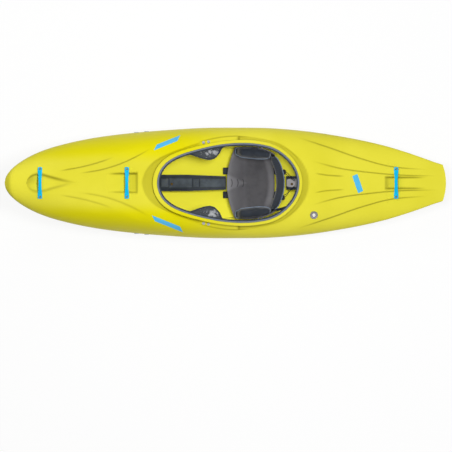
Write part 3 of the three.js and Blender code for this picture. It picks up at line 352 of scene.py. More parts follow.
def grid_faces(rows, columns, first=0, round_rows=False, round_columns=False):
    """Numbers of the corners of each square of a grid of points, row by row."""
    i = np.arange(rows if round_rows else rows - 1)[:, None]
    j = np.arange(columns if round_columns else columns - 1)[None, :]
    a, b = i * columns + j, i * columns + (j + 1) % columns
    c, d = (i + 1) % rows * columns + (j + 1) % columns, (i + 1) % rows * columns + j
    return (np.stack([a, b, c, d], axis=2).reshape(-1, 4) + first).tolist()


def tube_faces(rows, columns):
    """The faces of a tube of closed rings of points, with a cap over each end."""
    return grid_faces(rows, columns, 0, False, True) + [
        list(range(columns))[::-1], list(range((rows - 1) * columns, rows * columns))]


def closed_up(made, angle=32):
    """Merges equal points, turns every face outward and keeps only the sharper edges crisp."""
    cleaned = bmesh.new()
    cleaned.from_mesh(made.data)
    bmesh.ops.remove_doubles(cleaned, verts=cleaned.verts, dist=1e-6)
    bmesh.ops.dissolve_degenerate(cleaned, edges=cleaned.edges, dist=1e-7)
    bmesh.ops.recalc_face_normals(cleaned, faces=cleaned.faces)
    cleaned.to_mesh(made.data)
    cleaned.free()
    made.data.shade_smooth()
    made.data.set_sharp_from_angle(angle=math.radians(angle))
    return made


def ring_of(count):
    """Even turns round a circle, the last one short of the first."""
    return np.linspace(0, 2 * math.pi, count, endpoint=False)


def unit(ways):
    """Ways brought to a length of one."""
    return ways / np.linalg.norm(ways, axis=-1, keepdims=True)


def bulged(value, power):
    """A cosine or sine brought to a power with its sign kept, which makes a circle squarer."""
    return np.sign(value) * np.abs(value) ** power


class Value:
    """A socket of a finish. +, -, *, ** and abs on it add Math nodes, with plain numbers too."""

    def __init__(self, finish, socket):
        self.finish, self.socket = finish, socket

    def math(self, operation, *values):
        return self.finish.node("Math", {"operation": operation}, dict(enumerate(values)))

    def __add__(self, other):
        return self.math("ADD", self, other)

    def __sub__(self, other):
        return self.math("SUBTRACT", self, other)

    def __rsub__(self, other):
        return self.math("SUBTRACT", other, self)

    def __mul__(self, other):
        return self.math("MULTIPLY", self, other)

    def __pow__(self, other):
        return self.math("POWER", self, other)

    def __abs__(self):
        return self.math("ABSOLUTE", self)

    def sine(self):
        return self.math("SINE", self)

    __radd__, __rmul__ = __add__, __mul__


class Finish:
    """A procedural material: a Principled shader whose constants are set on its own sockets."""

    def __init__(self, name, **constants):
        self.material = bpy.data.materials.new(name)
        self.material.use_nodes = True
        self.tree = self.material.node_tree
        self.shader = self.tree.nodes["Principled BSDF"]
        for key, value in constants.items():
            self.shader.inputs[key.replace("_", " ")].default_value = value
        self.place = self.node("TexCoord", out="Object")

    def node(self, kind, settings=None, sockets=None, out=0):
        """Adds a node: its settings first, then its sockets."""
        made = self.tree.nodes.new("ShaderNode" + kind)
        for key, value in (settings or {}).items():
            setattr(made, key, value)
        for key, value in (sockets or {}).items():
            self.link(value, made.inputs[key])
        return Value(self, made.outputs[out])

    def link(self, value, socket):
        if isinstance(value, Value):
            self.tree.links.new(value.socket, socket)
        else:
            socket.default_value = value

    def noise(self, scale, detail=3.0, roughness=0.55, place=None):
        return self.node("TexNoise", None, {"Vector": place or self.place, "Scale": scale,
                                            "Detail": detail, "Roughness": roughness}, "Fac")

    def step(self, value, low, high):
        """0 below low, 1 above high, and smooth between."""
        return self.node("MapRange", {"interpolation_type": "SMOOTHSTEP"},
                         {"Value": value, "From Min": low, "From Max": high})

    def mix(self, share, first, second):
        return self.node("Mix", {"data_type": "RGBA"}, {0: share, 6: first, 7: second}, 2)

    def axes(self, place=None):
        split = self.node("SeparateXYZ", None, {0: place or self.place})
        outs = split.socket.node.outputs
        return [Value(self, outs[k]) for k in range(3)]

    def use(self, **sockets):
        for key, value in sockets.items():
            self.link(value, self.shader.inputs[key.replace("_", " ")])
        return self

    def bump(self, height, strength, distance):
        """Raises the surface by height, a number from 0 to 1, times distance in metres."""
        return self.use(Normal=self.node("Bump", None, {
            "Strength": strength, "Distance": distance, "Height": height}))


shell_finish = Finish("moulded_polyethylene", IOR=1.42, Specular_IOR_Level=0.12)
cloud, grain = shell_finish.noise(2.2, 3), shell_finish.noise(900, 2)
pebble = shell_finish.noise(260, 4)
x_of, y_of, z_of = shell_finish.axes()
# Scuffs: long streaks along the boat, only on the lowest parts of its bottom.
stretched = shell_finish.node("Mapping", {"vector_type": "POINT"},
                              {"Vector": shell_finish.place, "Scale": (6, 90, 60)})
streaks = shell_finish.step(shell_finish.noise(3, 5, 0.7, stretched), 0.6, 0.74)
scuffs = streaks * (1 - shell_finish.step(z_of, 0.012, 0.05)) * 0.5
plain_yellow = shell_finish.mix(shell_finish.step(cloud, 0.3, 0.7), srgb(212, 204, 50),
                                srgb(220, 212, 60))
# The bow's shoulders are painted a deeper yellow, which hides the floor's pale reflection on them:
# painted light, not the plastic's own tone. In the moat, in the recesses and along the creases a
# shade is painted in. The lining inside is painted paler, as painted light where the lamps reach it
# less.
shoulder_painted_light = (shell_finish.step(abs(y_of), 0.11, 0.2)
            * (1 - shell_finish.step(x_of, -0.3, 0.1)))
plain_yellow = shell_finish.mix(shoulder_painted_light, plain_yellow, srgb(216, 207, 6))
# The painted shade, and the lining painted paler as painted light.
for attribute_name, painted in (("shade", (122, 114, 14)), ("lining", (247, 240, 66))):
    painted_on = shell_finish.node("Attribute", {"attribute_name": attribute_name}, out="Fac")
    plain_yellow = shell_finish.mix(painted_on, plain_yellow, srgb(*painted))
shell_finish.use(Base_Color=shell_finish.mix(scuffs, plain_yellow, srgb(240, 236, 150)),
                 Roughness=0.36 + pebble * 0.12 + scuffs * 0.3)
shell_finish.bump(pebble * 0.7 + grain * 0.3, 0.25, 0.0004)

stations = np.linspace(0, 1, 331)
stations = 0.55 * stations + 0.45 * stations ** 2
stations[0] = 0.00005
SHELL_EDGE = 6.8  # the moulding's edge at the mouth lies this far outside the egg
mouth_x, mouth_y = egg_point(np.linspace(0.004, math.pi - 0.004, 121), SHELL_EDGE)
mouth_shares = mouth_x / LENGTH + .5
before_mouth = stations < mouth_shares[0] - .0015
after_mouth = stations > mouth_shares[-1] + .0015
outer_share = np.sort(np.concatenate([stations[before_mouth | after_mouth], mouth_shares]))


def profiles(shares, inset, plain, low_count, deck_count):
    """Whole cross-sections: the half ones from the mouth's edge down, with few points on the side
    and bottom and many over the deck, and their mirror back up. The hole is half the width of
    the mouth there, and none beyond its ends."""
    hole = np.interp((shares - .5) * LENGTH, mouth_x, mouth_y, left=0, right=0)
    low, over = half_sections(shares, inset, hole, plain)
    half = np.concatenate([evenly(low, low_count), evenly(over, deck_count)[:, 1:]], 1)[:, ::-1]
    return np.concatenate([half, (half * np.array([1, -1, 1]))[:, ::-1][:, 1:]], axis=1)


def shade_at(x, y, z):
    """How dark the skin is painted, only on the deck, from the seam up: a little in the moat, and
    more in thin lines, of which the darkest counts. They lie along each crease, round and behind
    the ledges, in the recesses and along the bow's seam, and are weaker to port at the bow."""
    away = np.abs(y)
    reach, half_turns = egg_reach(x, y)
    to_edge = BEAM * moat_of(half_turns) - reach
    inside = smooth((to_edge + 5) / 12) * smooth((reach - 20) / 10)
    behind = x - LEDGE[1]
    after = smooth(behind / 4) * (1 - smooth(behind / 120)) * smooth(inside * 2)
    lines = [.8 * np.exp(-(to_edge / 4) ** 2) * ledge_at(x),
             1.2 * np.exp(-((behind - 6) / 10) ** 2) * smooth(inside * 3),
             after * smooth((reach - 40) / 20)]
    for points, _ in CREASES:
        off, here = crease_at(points, x, away, .2, .25)
        lines.append(here * np.where((x < 0) & (y < 0), .25, 1) * np.exp(-(off / 3.6) ** 2))
    part, near, swell = drop_at(x)
    wide = DROP_RECESS[2] * swell
    rim = np.exp(-((away - wide + 7) / 9) ** 2) * smooth(near * 5)
    bowl = smooth(1 - (part + .1 * smooth(.5 - y / 40)) / .3) * (away < wide) * .6
    lines += [rim * np.where(y > 0, 1, .6) * smooth((1 - part) / .5) * (near > 0),
              bowl * (near > 0)]
    for start, end, half_width, _ in CHANNELS:
        part = (x - start) / (end - start)
        within = smooth(part / .35) * (part < 1.03)
        walls = np.exp(-((away - half_width + 5) / (4 + 5 * np.clip(part, 0, 1))) ** 2)
        end_wall = np.exp(-((1 - part) * abs(end - start) / 7) ** 2)
        lines += [within * .85 * walls * np.where((y > 0) | (x > 0), 1.1, .7),
                  within * np.maximum(.6 * end_wall, .4 * smooth((part - .6) / .4))
                  * (away < half_width)]
    above = z - HEIGHT * seam_of(x / LENGTH + .5)
    lines.append(.8 * smooth((-x - 250) / 200) * (np.abs(above) < 1.5))
    darkest = .7 * np.maximum.reduce(lines)
    return np.where(above > -2, np.maximum(.36 * inside * (1 - ledge_at(x)), darkest), 0)


outer = profiles(outer_share, 0, False, 32, 84)
inner_share = np.sort(np.concatenate([np.linspace(.02, .34, 24), np.linspace(.67, .975, 24),
                                      mouth_shares[::3]]))
inner = profiles(inner_share, WALL, True, 20, 34)
rows, columns = outer.shape[:2]
inner_rows, inner_columns = inner.shape[:2]
shell_points = np.concatenate([outer.reshape(-1, 3), inner.reshape(-1, 3)])
shell_faces = grid_faces(rows, columns)
shell_faces += [f[::-1] for f in grid_faces(inner_rows, inner_columns, rows * columns)]
# Its ends: the tip of the bow and the stern's edge are closed across, first point to last.
for row, flip in ((0, False), (rows - 1, True)):
    ring = list(range(row * columns, (row + 1) * columns))
    quads = [[ring[k], ring[k + 1], ring[-2 - k], ring[-1 - k]] for k in range(columns // 2)]
    quads = [q for q in quads if len(set(q)) > 2]
    shell_faces += [q[::-1] if flip else q for q in quads]
shell = mesh_piece("shell", shell_points, shell_faces, shell_finish)
# The painted shade on the deck, and the lining's points, which the finish paints paler as painted
# light.
for attribute_name, values in (
        ("shade", shade_at(*shell_points.T)),
        ("lining", np.arange(len(shell_points)) >= rows * columns)):
    shell.data.attributes.new(attribute_name, "FLOAT", "POINT").data.foreach_set(
        "value", values.astype(np.float32))
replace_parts(shell, "hull_shell")


# Coaming: the neck and the wide lip round the mouth, moulded in one with the shell, so it has
# the same finish. The spray deck's edge grips under the lip, which stands clear of the moat.
NECK_IN, NECK_OUT, LIP_REACH, LIP_THICK, LIP_BOW_MORE = 3.3, 10.3, 37.0, 14.0, 9.0


def corner(reach, lift, radius, start, end, steps=5):
    """A quarter turn of a profile round a centre, as (reach, share of the lip, lift) points."""
    turn = np.radians(np.linspace(start, end, steps))
    return [(reach + radius * math.cos(t), 1, lift + radius * math.sin(t)) for t in turn]


def egg_ring(name, profile, finish, steps=300):
    """A closed profile carried round the cockpit's egg. Each of its points is a reach outside the
    egg, a share of the lip's height (the rest is the deck's) and a lift above that. The outer
    edge goes further out at the bow. Its UV map runs round the mouth and along the profile."""
    turn = ring_of(steps)
    base = HEIGHT * lip_of(egg_point(turn, 0)[0] / LENGTH + .5)
    forward = np.maximum(np.cos(turn), 0)
    rings = []
    for reach, share, lift in profile:
        x, y = egg_point(turn, reach + LIP_BOW_MORE * smooth((reach - 20) / 14) * forward ** 3)
        rings.append(np.stack([x, y, share * base + (1 - share) * deck_form(x, y) + lift], 1))
    points = np.stack(rings, 1).reshape(-1, 3)
    made = mesh_piece(name, points, grid_faces(steps, len(profile), 0, True, True), finish)
    wrap = made.data.uv_layers.new(name="wrap")
    corners = np.zeros(len(made.data.loops), int)
    made.data.loops.foreach_get("vertex_index", corners)
    around, along = corners // len(profile), corners % len(profile)
    wrap.data.foreach_set("uv", np.stack([around / steps, along / len(profile)], 1).ravel())
    return made


coaming = egg_ring("coaming", [
    (NECK_IN, 0, -17), (NECK_IN, 1, -3), (NECK_IN + .6, 1, -.8), (NECK_IN + 2.5, 1, 0), (18, 1, .2),
    *corner(LIP_REACH - 5, -5, 5, 88, 5), *corner(LIP_REACH - 4, -LIP_THICK + 4, 4, 0, -90),
    (NECK_OUT + 6, 1, -LIP_THICK), (NECK_OUT + 2, 1, -LIP_THICK - 1.5),
    (NECK_OUT, 1, -LIP_THICK - 5), (NECK_OUT, 0, 9), (NECK_OUT + 1.5, 0, 4), (NECK_OUT + 5, 0, 1),
    (NECK_OUT + 10, 0, -.6), (NECK_OUT + 8, 0, -8)], shell_finish)

# Edge trim: a grey rubber angle pushed over the coaming's inner edge, glued all the way round.
# Its back is blue-grey outside a fine groove, and it is painted near black inside and along its
# outer edge: painted shade on the sides that turn from the light. Its skin is matt.
rubber = Finish("grey_rubber", Roughness=0.62, IOR=1.48)
_, profile_place, _ = rubber.axes(rubber.node("TexCoord", out="UV"))
# Near black on the inside and along the outer edge: painted shade.
painted_shade_inside = rubber.step(profile_place, 0.443, 0.462)
painted_shade_outer_edge = 1 - rubber.step(profile_place, 0.20, 0.235)
rubber_dust = rubber.noise(70, 4)
rubber.use(Base_Color=rubber.mix(painted_shade_inside + painted_shade_outer_edge,
                                 rubber.mix(rubber_dust, srgb(94, 102, 115),
                                            srgb(118, 126, 140)), srgb(36, 44, 52)),
           Roughness=0.5 + rubber_dust * 0.2)
rubber.bump(rubber.noise(500, 3), 0.3, 0.0004)
trim = egg_ring("edge_trim", [
    (3, 1, .35), (16, 1, .35), (18, 1, .4), (18.4, 1, .9), (18, 1, 1.8), (17, 1, 2.6),
    (15.6, 1, 2.95), (14.4, 1, 2.9), (13.9, 1, 2.3), (13.4, 1, 2.9), (11, 1, 3), (5, 1, 3),
    (2.6, 1, 2.9), (1, 1, 2.1), (.2, 1, .8), (0, 1, -1), (0, 1, -6), (0, 1, -11),
    (.5, 1, -11.8), (1.5, 1, -12), (2.5, 1, -11.8), (3, 1, -11), (3, 1, -5)], rubber)
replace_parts(trim, "coaming_edge_trim")

# Grab handles: blue nylon bars, arched over their finger recesses. A screw with a countersunk
# head goes through each foot into an insert in the deck.
HANDLE = {"span": 97.0, "half_width": 13.5, "thick": 9.0, "arch": 15.0, "foot": 66.0,
          "screw": 84.0, "waist": .7, "screw_lift": 6.2}


def clouded(name, dark, light, clouds, rough, bump, even=None, **constants):
    """A finish of slow clouds between two shades, which even squeezes between two levels.
    Clouds is their noise's scale and detail; rough is the least roughness, what noise adds to it
    and that noise's scale and detail; bump is its noise's scale and detail, strength and depth."""
    finish = Finish(name, **constants)
    share = finish.noise(*clouds)
    least, more, *fine = rough
    if even:
        share = finish.step(share, *even)
    finish.use(Base_Color=finish.mix(share, srgb(*dark), srgb(*light)),
               Roughness=least + finish.noise(*fine) * more)
    if bump:
        finish.bump(finish.noise(*bump[:2]), *bump[2:])
    return finish


nylon = clouded("blue_nylon", (0, 164, 216), (0, 188, 232), (30, 3), (0.32, 0.16, 300, 3),
                (700, 3, 0.25, 0.0003), IOR=1.46, Specular_IOR_Level=0.3)


def grab_handle(name, x_middle):
    """A bar across the deck: at each place from foot to foot a rounded section, raised by the
    arch times the cosine^1.2 of the way out, and a little narrower in the middle."""
    y = np.linspace(-1, 1, 71)
    y = HANDLE["span"] * np.sign(y) * (1 - (1 - np.abs(y)) ** 1.15)
    near = np.clip(np.abs(y) / HANDLE["foot"], 0, 1)
    lift = HANDLE["arch"] * np.cos(math.pi / 2 * near) ** 1.2
    end = np.sqrt(np.clip(1 - (np.clip(np.abs(y) - HANDLE["span"] + 4, 0, 4) / 4.6) ** 2, 0, 1))
    width = HANDLE["half_width"] * (HANDLE["waist"] + (1 - HANDLE["waist"]) * near ** 2) * end
    turn = ring_of(28)
    x = x_middle + width[:, None] * bulged(np.cos(turn), .55)[None, :]
    upward = bulged(np.sin(turn), .7)
    side = y[:, None] + 0 * x
    sunk = np.minimum(deck_form(x, side) - deck_z(x, side), 0) * (near[:, None] ** 4)
    bottom = np.where(upward < 0, 1, 0) * (sunk - 1.2 * (near[:, None] > .98))
    thick = HANDLE["thick"] * (.5 + .5 * end)[:, None]
    z = deck_z(x, side) + lift[:, None] + .3 + thick * (1 + upward[None, :]) / 2 + bottom
    made = mesh_piece(name, np.stack([x, side, z], 2).reshape(-1, 3),
                      [f[::-1] for f in tube_faces(*z.shape)], nylon)
    return made


HANDLES = {"bow": -1134, "deck": -603, "stern": 1045}
for handle_name, handle_x in HANDLES.items():
    node = f"{handle_name}_grab_handle"
    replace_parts(grab_handle(node + "_bar", handle_x), node)


# Screws and bolts: turned heads with a driver's recess. Brass-coloured on the handles and rails,
# bright stainless steel on the sides, the deck and the drain.
def metal(name, dark, light, roughness):
    """A brushed metal: fine rings of wear, darker in its clouds, a little rougher there."""
    return clouded(name, dark, light, (120, 4), (roughness, 0.16, 600, 2), (1500, 2, 0.2, 0.0001),
                   Metallic=1.0)


brass = metal("dark_brass_screw", (96, 76, 40), (150, 122, 70), 0.28)
steel = metal("bright_steel_bolt", (160, 165, 170), (206, 210, 214), 0.22)


def stand(x, y):
    """Where a fitting stands on the deck: the ways ahead, aside and up off it, and its place."""
    ahead = np.array([2, 0, deck_z(x + 1, y) - deck_z(x - 1, y)], float)
    aside = np.array([0, 2, deck_z(x, y + 1) - deck_z(x, y - 1)], float)
    up, ahead = unit(np.cross(ahead, aside)), unit(ahead)
    return np.array([ahead, np.cross(up, ahead), up]), np.array([x, y, float(deck_z(x, y))])


def turned(name, profile, axes, place, finish, body="hull", facets=40, star=None):
    """A profile of (radius, height) turned about the third axis. Radii inside the recess are
    drawn in towards a star of points: (outer radius of the recess, points, depth of waist)."""
    turn = ring_of(facets)
    radius, height = np.array(profile, float).T
    spread = np.ones((len(radius), facets))
    if star:
        reach, points_, waist = star
        wave = 1 - waist * (0.5 - 0.5 * np.cos(points_ * turn))
        spread = np.where(radius[:, None] <= reach + 1e-6, wave[None, :], 1.0)
    spread = radius[:, None] * spread
    local = np.stack([spread * np.cos(turn), spread * np.sin(turn), height[:, None] + 0 * turn], 2)
    points = (local.reshape(-1, 3) @ np.asarray(axes)) + np.asarray(place)
    faces = [f[::-1] for f in grid_faces(len(profile), facets, 0, False, True)]
    return closed_up(mesh_piece(name, points, faces, finish, body), 38)


def head_profile(radius, rise, foot, recess, deep):
    """A pan head from its flat foot up over a rounded edge, with a recess in its top."""
    return [(0, -foot), (radius * .6, -foot), (radius, 0), (radius, rise * .35),
            (radius * .96, rise * .62), (radius * .86, rise * .85), (radius * .68, rise),
            (recess * 1.12, rise), (recess, rise * .93), (recess * .9, rise - deep),
            (0, rise - deep * 1.1)]


for handle_name, handle_x in HANDLES.items():
    for side_name, side in SIDES:
        axes, place = stand(handle_x, side * HANDLE["screw"])
        place[2] += HANDLE["screw_lift"]
        screw = turned(f"{handle_name}_handle_screw_{side_name}",
                       head_profile(8, 3.4, 4, 3.2, 2), axes, place, brass, star=(3.2, 4, .45))
        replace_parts(screw, f"{handle_name}_grab_handle_screw_{side_name}")


def box_of(node):
    """The low and high corners of a solid's box, in millimetres."""
    return [np.array(corner_) / MM for corner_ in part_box(node)]


def steel_bolt(name, node, profile, axes, place, recess):
    """A bolt with a recess of six shallow points, in the place of a solid."""
    bolt = turned(name, profile, axes, place, steel, star=(recess, 6, .14))
    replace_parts(bolt, node)


BRACE_BOLTS, BRACE_BOLT_LIFT = ((-133.0, 246.0), (-103.0, 251.0)), 1.6
RAIL_BOLT = head_profile(15, 4, 12, 4.6, 2.4)
SEAT_BOLT = [(0, -21), (3, -21), (3, -1), (7.6, -.8)] + head_profile(8, 4, 26, 2.8, 2)[2:]
for side_name, side in SIDES:
    for number, (bolt_x, bolt_y) in enumerate(BRACE_BOLTS, 1):
        _, place = stand(bolt_x, side * bolt_y)
        place[2] += BRACE_BOLT_LIFT
        steel_bolt(f"brace_bolt_{side_name}_{number}", f"thigh_brace_bolt_{side_name}_{number}",
                   head_profile(9.5, 4, 14, 3.6, 2.2), np.eye(3), place, 3.6)
    out = np.array([0, side, 0.0])
    axes = np.array([[1, 0, 0], np.cross(out, [1, 0, 0]), out])
    for number in (1, 2):
        for kind, node, profile, recess in (("rail_bolt", "footrest_bolt", RAIL_BOLT, 4.6),
                                            ("seat_side_bolt", "seat_bolt", SEAT_BOLT, 2.8)):
            node = f"{node}_{side_name}_{number}"
            low, high = box_of(node)
            place = (low + high) / 2
            place[1] = side * ((high[1] if side > 0 else -low[1]) - 4)
            steel_bolt(f"{kind}_{side_name}_{number}", node, profile, axes, place, recess)


# Drain: a steel ring let into the rear deck, a rubber seal, and a plug that is screwed down on
# it. The plug's head has a ring groove in its top and a coin slot through its middle.
DRAIN_X, DRAIN_Y = 542.0, -197.0
drain_axes, drain_place = stand(DRAIN_X, DRAIN_Y)
dull_steel = metal("dull_steel_ring", (104, 104, 110), (150, 150, 156), 0.36)
ring = turned("drain_ring", [
    (13, -14), (17, -14), (17, -1), (24, -.6), (24, 1.2), (23.4, 2.2), (22.4, 2.8), (21, 3),
    (15, 3), (13.6, 2.7), (13, 2)], drain_axes, drain_place, dull_steel, facets=64)
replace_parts(ring, "drain_seat_ring")
seal = turned("drain_rubber_seal", [
    (13.4, 3.3), (16.4, 3.3), (17, 3.7), (17.1, 4.2), (16.7, 4.8), (16, 4.9), (13.4, 4.9)],
    drain_axes, drain_place, rubber, "drain_seal", facets=64)
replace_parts(seal, "drain_seal")

plug_steel = Finish("plug_steel", Metallic=0.6)
plug_x, plug_y, _ = plug_steel.axes()
plug_x, plug_y = plug_x - DRAIN_X * MM, plug_y - DRAIN_Y * MM
plug_reach = (plug_x * plug_x + plug_y * plug_y) ** 0.5
outer_ring = plug_steel.step(plug_reach, 0.0132, 0.0148)
# The ring groove in the top is painted near black: painted shade in the groove.
plug_groove_painted_shade = plug_steel.step(plug_reach, 0.0102, 0.0114) * (1 - outer_ring)
plug_grey = plug_steel.mix(outer_ring, srgb(236, 236, 230), srgb(158, 155, 166))
plug_steel.use(Base_Color=plug_steel.mix(plug_groove_painted_shade, plug_grey, srgb(58, 57, 64)),
               Roughness=0.3 + plug_steel.noise(500, 2) * 0.16)

# The slot's depth falls off smoothly across its edge, and stops short of the rim.
turn = ring_of(96)
reach = np.array([0, 1.2, 1.5, 1.8, 3, 6, 9, 10.6, 11.2, 12, 13.4, 13.9, 14.4, 15.5, 17, 18.2, 19,
                  19.5])
height = np.interp(reach, [0, 10.6, 11.2, 13.4, 14.4, 16.4, 17.6, 18.6, 19.2, 19.5],
                   [10.2, 10.2, 8.7, 8.7, 10.2, 10.2, 9.9, 9.2, 8.3, 7.4])
x, y = reach[:, None] * np.cos(turn), reach[:, None] * np.sin(turn)
sunk = 2.5 * (1 - smooth((np.abs(y) - 1.3) / .5)) * (1 - smooth((np.abs(x) - 13) / .8))
top = np.stack([x, y, height[:, None] - sunk], 2)
skirt = np.array([(19.5, 5.4), (19.2, 5.2), (12.5, 5.2), (12.5, -13.4), (12, -14), (0, -14)])
rest = np.stack([skirt[:, :1] * np.cos(turn), skirt[:, :1] * np.sin(turn),
                 skirt[:, 1:] + 0 * turn], 2)
plug = closed_up(mesh_piece(
    "drain_plug_head", np.concatenate([top, rest]).reshape(-1, 3) @ drain_axes + drain_place,
    grid_faces(len(reach) + len(skirt), 96, 0, False, True), plug_steel, "drain_plug"))
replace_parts(plug, "drain_plug")


# Rails, blocks and floor strips: stiff black plastic with a fine grain, screwed and welded to
# the floor. The long rail ahead of the seat has a lighter inset panel; its end block is grey.
def bevelled(made, width, segments=2):
    """Rounds the sharper edges of a piece by a width in millimetres."""
    rounding = made.modifiers.new("rounding", "BEVEL")
    rounding.width, rounding.segments = width * MM, segments
    rounding.limit_method, rounding.angle_limit = "ANGLE", math.radians(32)
    return made


def softened(node, name, finish, body="hull", width=2.0, segments=2):
    """A copy of a solid with its corners merged and its sharp edges rounded, in its place."""
    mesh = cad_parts[node].data.copy()
    mesh.name = name
    mesh.materials.clear()
    mesh.materials.append(finish.material)
    merged = bmesh.new()
    merged.from_mesh(mesh)
    bmesh.ops.remove_doubles(merged, verts=merged.verts, dist=1e-5)
    bmesh.ops.dissolve_limit(merged, angle_limit=math.radians(1), verts=merged.verts,
                             edges=merged.edges)
    merged.to_mesh(mesh)
    merged.free()
    mesh.shade_smooth()
    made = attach(bevelled(placed(name, mesh), width, segments), body)
    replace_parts(made, node)
    return made


def grained(name, dark, light, roughness, coat=0.0, scale=260):
    """Moulded plastic: a fine even grain, clouded between two close shades."""
    return clouded(name, dark, light, (14, 4), (roughness, 0.18, scale, 4),
                   (scale, 4, 0.3, 0.0005), (0.3, 0.7), IOR=1.48, Coat_Weight=coat,
                   Coat_Roughness=0.25)


rail_finish = grained("black_rail_plastic", (38, 44, 50), (52, 58, 64), 0.42)
block_finish = grained("light_grey_plastic", (156, 153, 154), (172, 169, 170), 0.45)
latch_finish = grained("latch_plastic", (64, 71, 78), (76, 83, 90), 0.38)


def carried(name, path, section, finish, body, up=(0, 0, 1), closed=False, sizes=1.0):
    """A section of (side, up) points carried along a path. At each place it stands square to the
    way ahead, its second axis as near to up as that allows, and grown by the size there."""
    path, section = np.asarray(path, float), np.asarray(section, float)
    ahead = unit(np.roll(path, -1, 0) - np.roll(path, 1, 0) if closed else
                 np.gradient(path, axis=0))
    side = unit(np.cross(ahead, np.asarray(up, float) + 0 * path))
    top = np.cross(side, ahead)
    size = (np.asarray(sizes, float) + np.zeros(len(path)))[:, None, None]
    points = (path[:, None, :] + size * (section[None, :, :1] * side[:, None, :]
                                         + section[None, :, 1:] * top[:, None, :]))
    shape = len(path), len(section)
    faces = grid_faces(*shape, 0, True, True) if closed else tube_faces(*shape)
    return closed_up(mesh_piece(name, points.reshape(-1, 3), faces, finish, body))


def rounded_bar(half_width, half_height, corner_, steps=3):
    """A rectangle's section with rounded corners, as (side, up) points."""
    turn = np.radians(np.linspace(0, 90, steps + 1))
    quarter = np.stack([half_width - corner_ + corner_ * np.cos(turn),
                        half_height - corner_ + corner_ * np.sin(turn)], 1)
    flips = [(1, 1), (-1, 1), (-1, -1), (1, -1)]
    return np.concatenate([(quarter if k % 2 == 0 else quarter[::-1]) * flip
                           for k, flip in enumerate(flips)])


def prism(name, first, second, finish, body="hull"):
    """A closed solid between two outlines of as many points."""
    count = len(first)
    faces = [list(range(count))[::-1], list(range(count, 2 * count))]
    faces += [[k, (k + 1) % count, count + (k + 1) % count, count + k] for k in range(count)]
    return closed_up(mesh_piece(name, first + second, faces, finish, body))


def slab(name, outline, low, high, finish, body="hull", width=1.0):
    """An outline in plan raised from low to high, with its edges rounded."""
    first, second = ([(x, y, z) for x, y in outline] for z in (low, high))
    return bevelled(prism(name, first, second, finish, body), width)


def points_of(mesh):
    """Every point of a mesh, in metres."""
    places = np.zeros(len(mesh.vertices) * 3)
    mesh.vertices.foreach_get("co", places)
    return places.reshape(-1, 3)


def moved(made, change):
    """Sends every point of a piece, in millimetres, through a change."""
    made.data.vertices.foreach_set("co", (change(points_of(made.data) / MM) * MM).ravel())
    made.data.update()


for node, name, finish, slot_name, width in (
        ("centre_rail", "rail_body", rail_finish, "rail_plastic", 2),
        ("rail_front_block", "rail_end_block", latch_finish, "block_plastic", 2.5),
        ("rail_latch", "rail_latch_body", latch_finish, "rail_plastic", 2),
        ("rear_rail", "rear_rail_body", rail_finish, "rail_plastic", 2),
        ("rear_rail_block", "rear_block_body", block_finish, "block_plastic", 2.5)):
    softened(node, name, finish, width=width)
for side_name, side in SIDES:
    strip = softened(f"floor_strip_{side_name}", f"floor_strip_body_{side_name}", rail_finish)
    moved(strip, lambda points: points * (1, 1.14, 1))

PANEL_LOW, PANEL_HIGH, RAIL_LIP_Z, RIB_Z, RIB_GAP = 91.5, 94.2, 92.8, 102.2, 8.5
panel_finish = grained("rail_panel_plastic", (54, 61, 68), (78, 86, 93), 0.36, 0.05, 120)
for panel_name, start, end, half in (("front", -343, -204, 29), ("rear", -155, 0, 26)):
    outline = [(start, -half), (end, -half + 2), (end, half - 2), (start, half)]
    slab(f"rail_panel_{panel_name}", outline, PANEL_LOW, PANEL_HIGH, panel_finish,
                 width=1.6)
for side_name, side in SIDES:
    lip_x = np.linspace(-467, 2, 40)
    lip_y = side * np.interp(lip_x, [-467, -240, 2], [47.8, 47.8, 38.8])
    path = np.stack([lip_x, lip_y, RAIL_LIP_Z + 0 * lip_x], 1)
    carried(f"rail_lip_{side_name}", path, rounded_bar(1.6, 1.8, 1.2), latch_finish,
                    "hull")
for number in range(4):
    rib_y = np.linspace(-17, 17, 9)
    path = np.stack([-192 + RIB_GAP * number + 0 * rib_y, rib_y, RIB_Z + 0 * rib_y], 1)
    carried(f"latch_rib_{number + 1}", path, rounded_bar(1.4, 1.3, 1), panel_finish,
                    "hull")
rear_start = box_of("rear_rail")[0][0] + 3
outline = [(rear_start, -20), (rear_start, 20), (396, 26), (427, 26), (427, -26), (396, -26)]
slab("rear_rail_plate", outline, 121.5, 124, block_finish)
for name, screw_x, screw_z in (("rail_front_screw", -328, 92.3), ("rear_rail_screw", 407, 122.3)):
    screw = turned(name + "_head", head_profile(8, 5.3, 4, 3.2, 2), np.eye(3),
                   (screw_x, -7, screw_z), brass, star=(3.2, 4, .45))
    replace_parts(screw, name)


# Seat: a thin trough moulded in grained grey plastic. It slides on the floor strips, its front
# bulges up over the rail, and each side has a slot for the bolts through the coaming's neck.
SEAT = {"front": 9.0, "sweep": 50.0, "rear": 302.0, "wall": 5.0, "top": 276.0, "low_top": 150.0,
        "rise": 74.0, "rise_to": 119.9, "base": 35.5, "length": 290.0, "girth": 700.0}
SEAT_SIDES = [(0, 211.9), (20, 213.8), (50, 216), (80, 217), (110, 216.9), (140, 215.3),
              (170, 212.1), (200, 207.7), (220, 203.7), (240, 198.5), (260, 191.5),
              (275, 184.8), (290, 176.8), (302, 169.3), (315, 159.9)]


def seat_half(x):
    """Half the seat's width at a place along the boat."""
    return np.interp(x, *np.array(SEAT_SIDES).T)


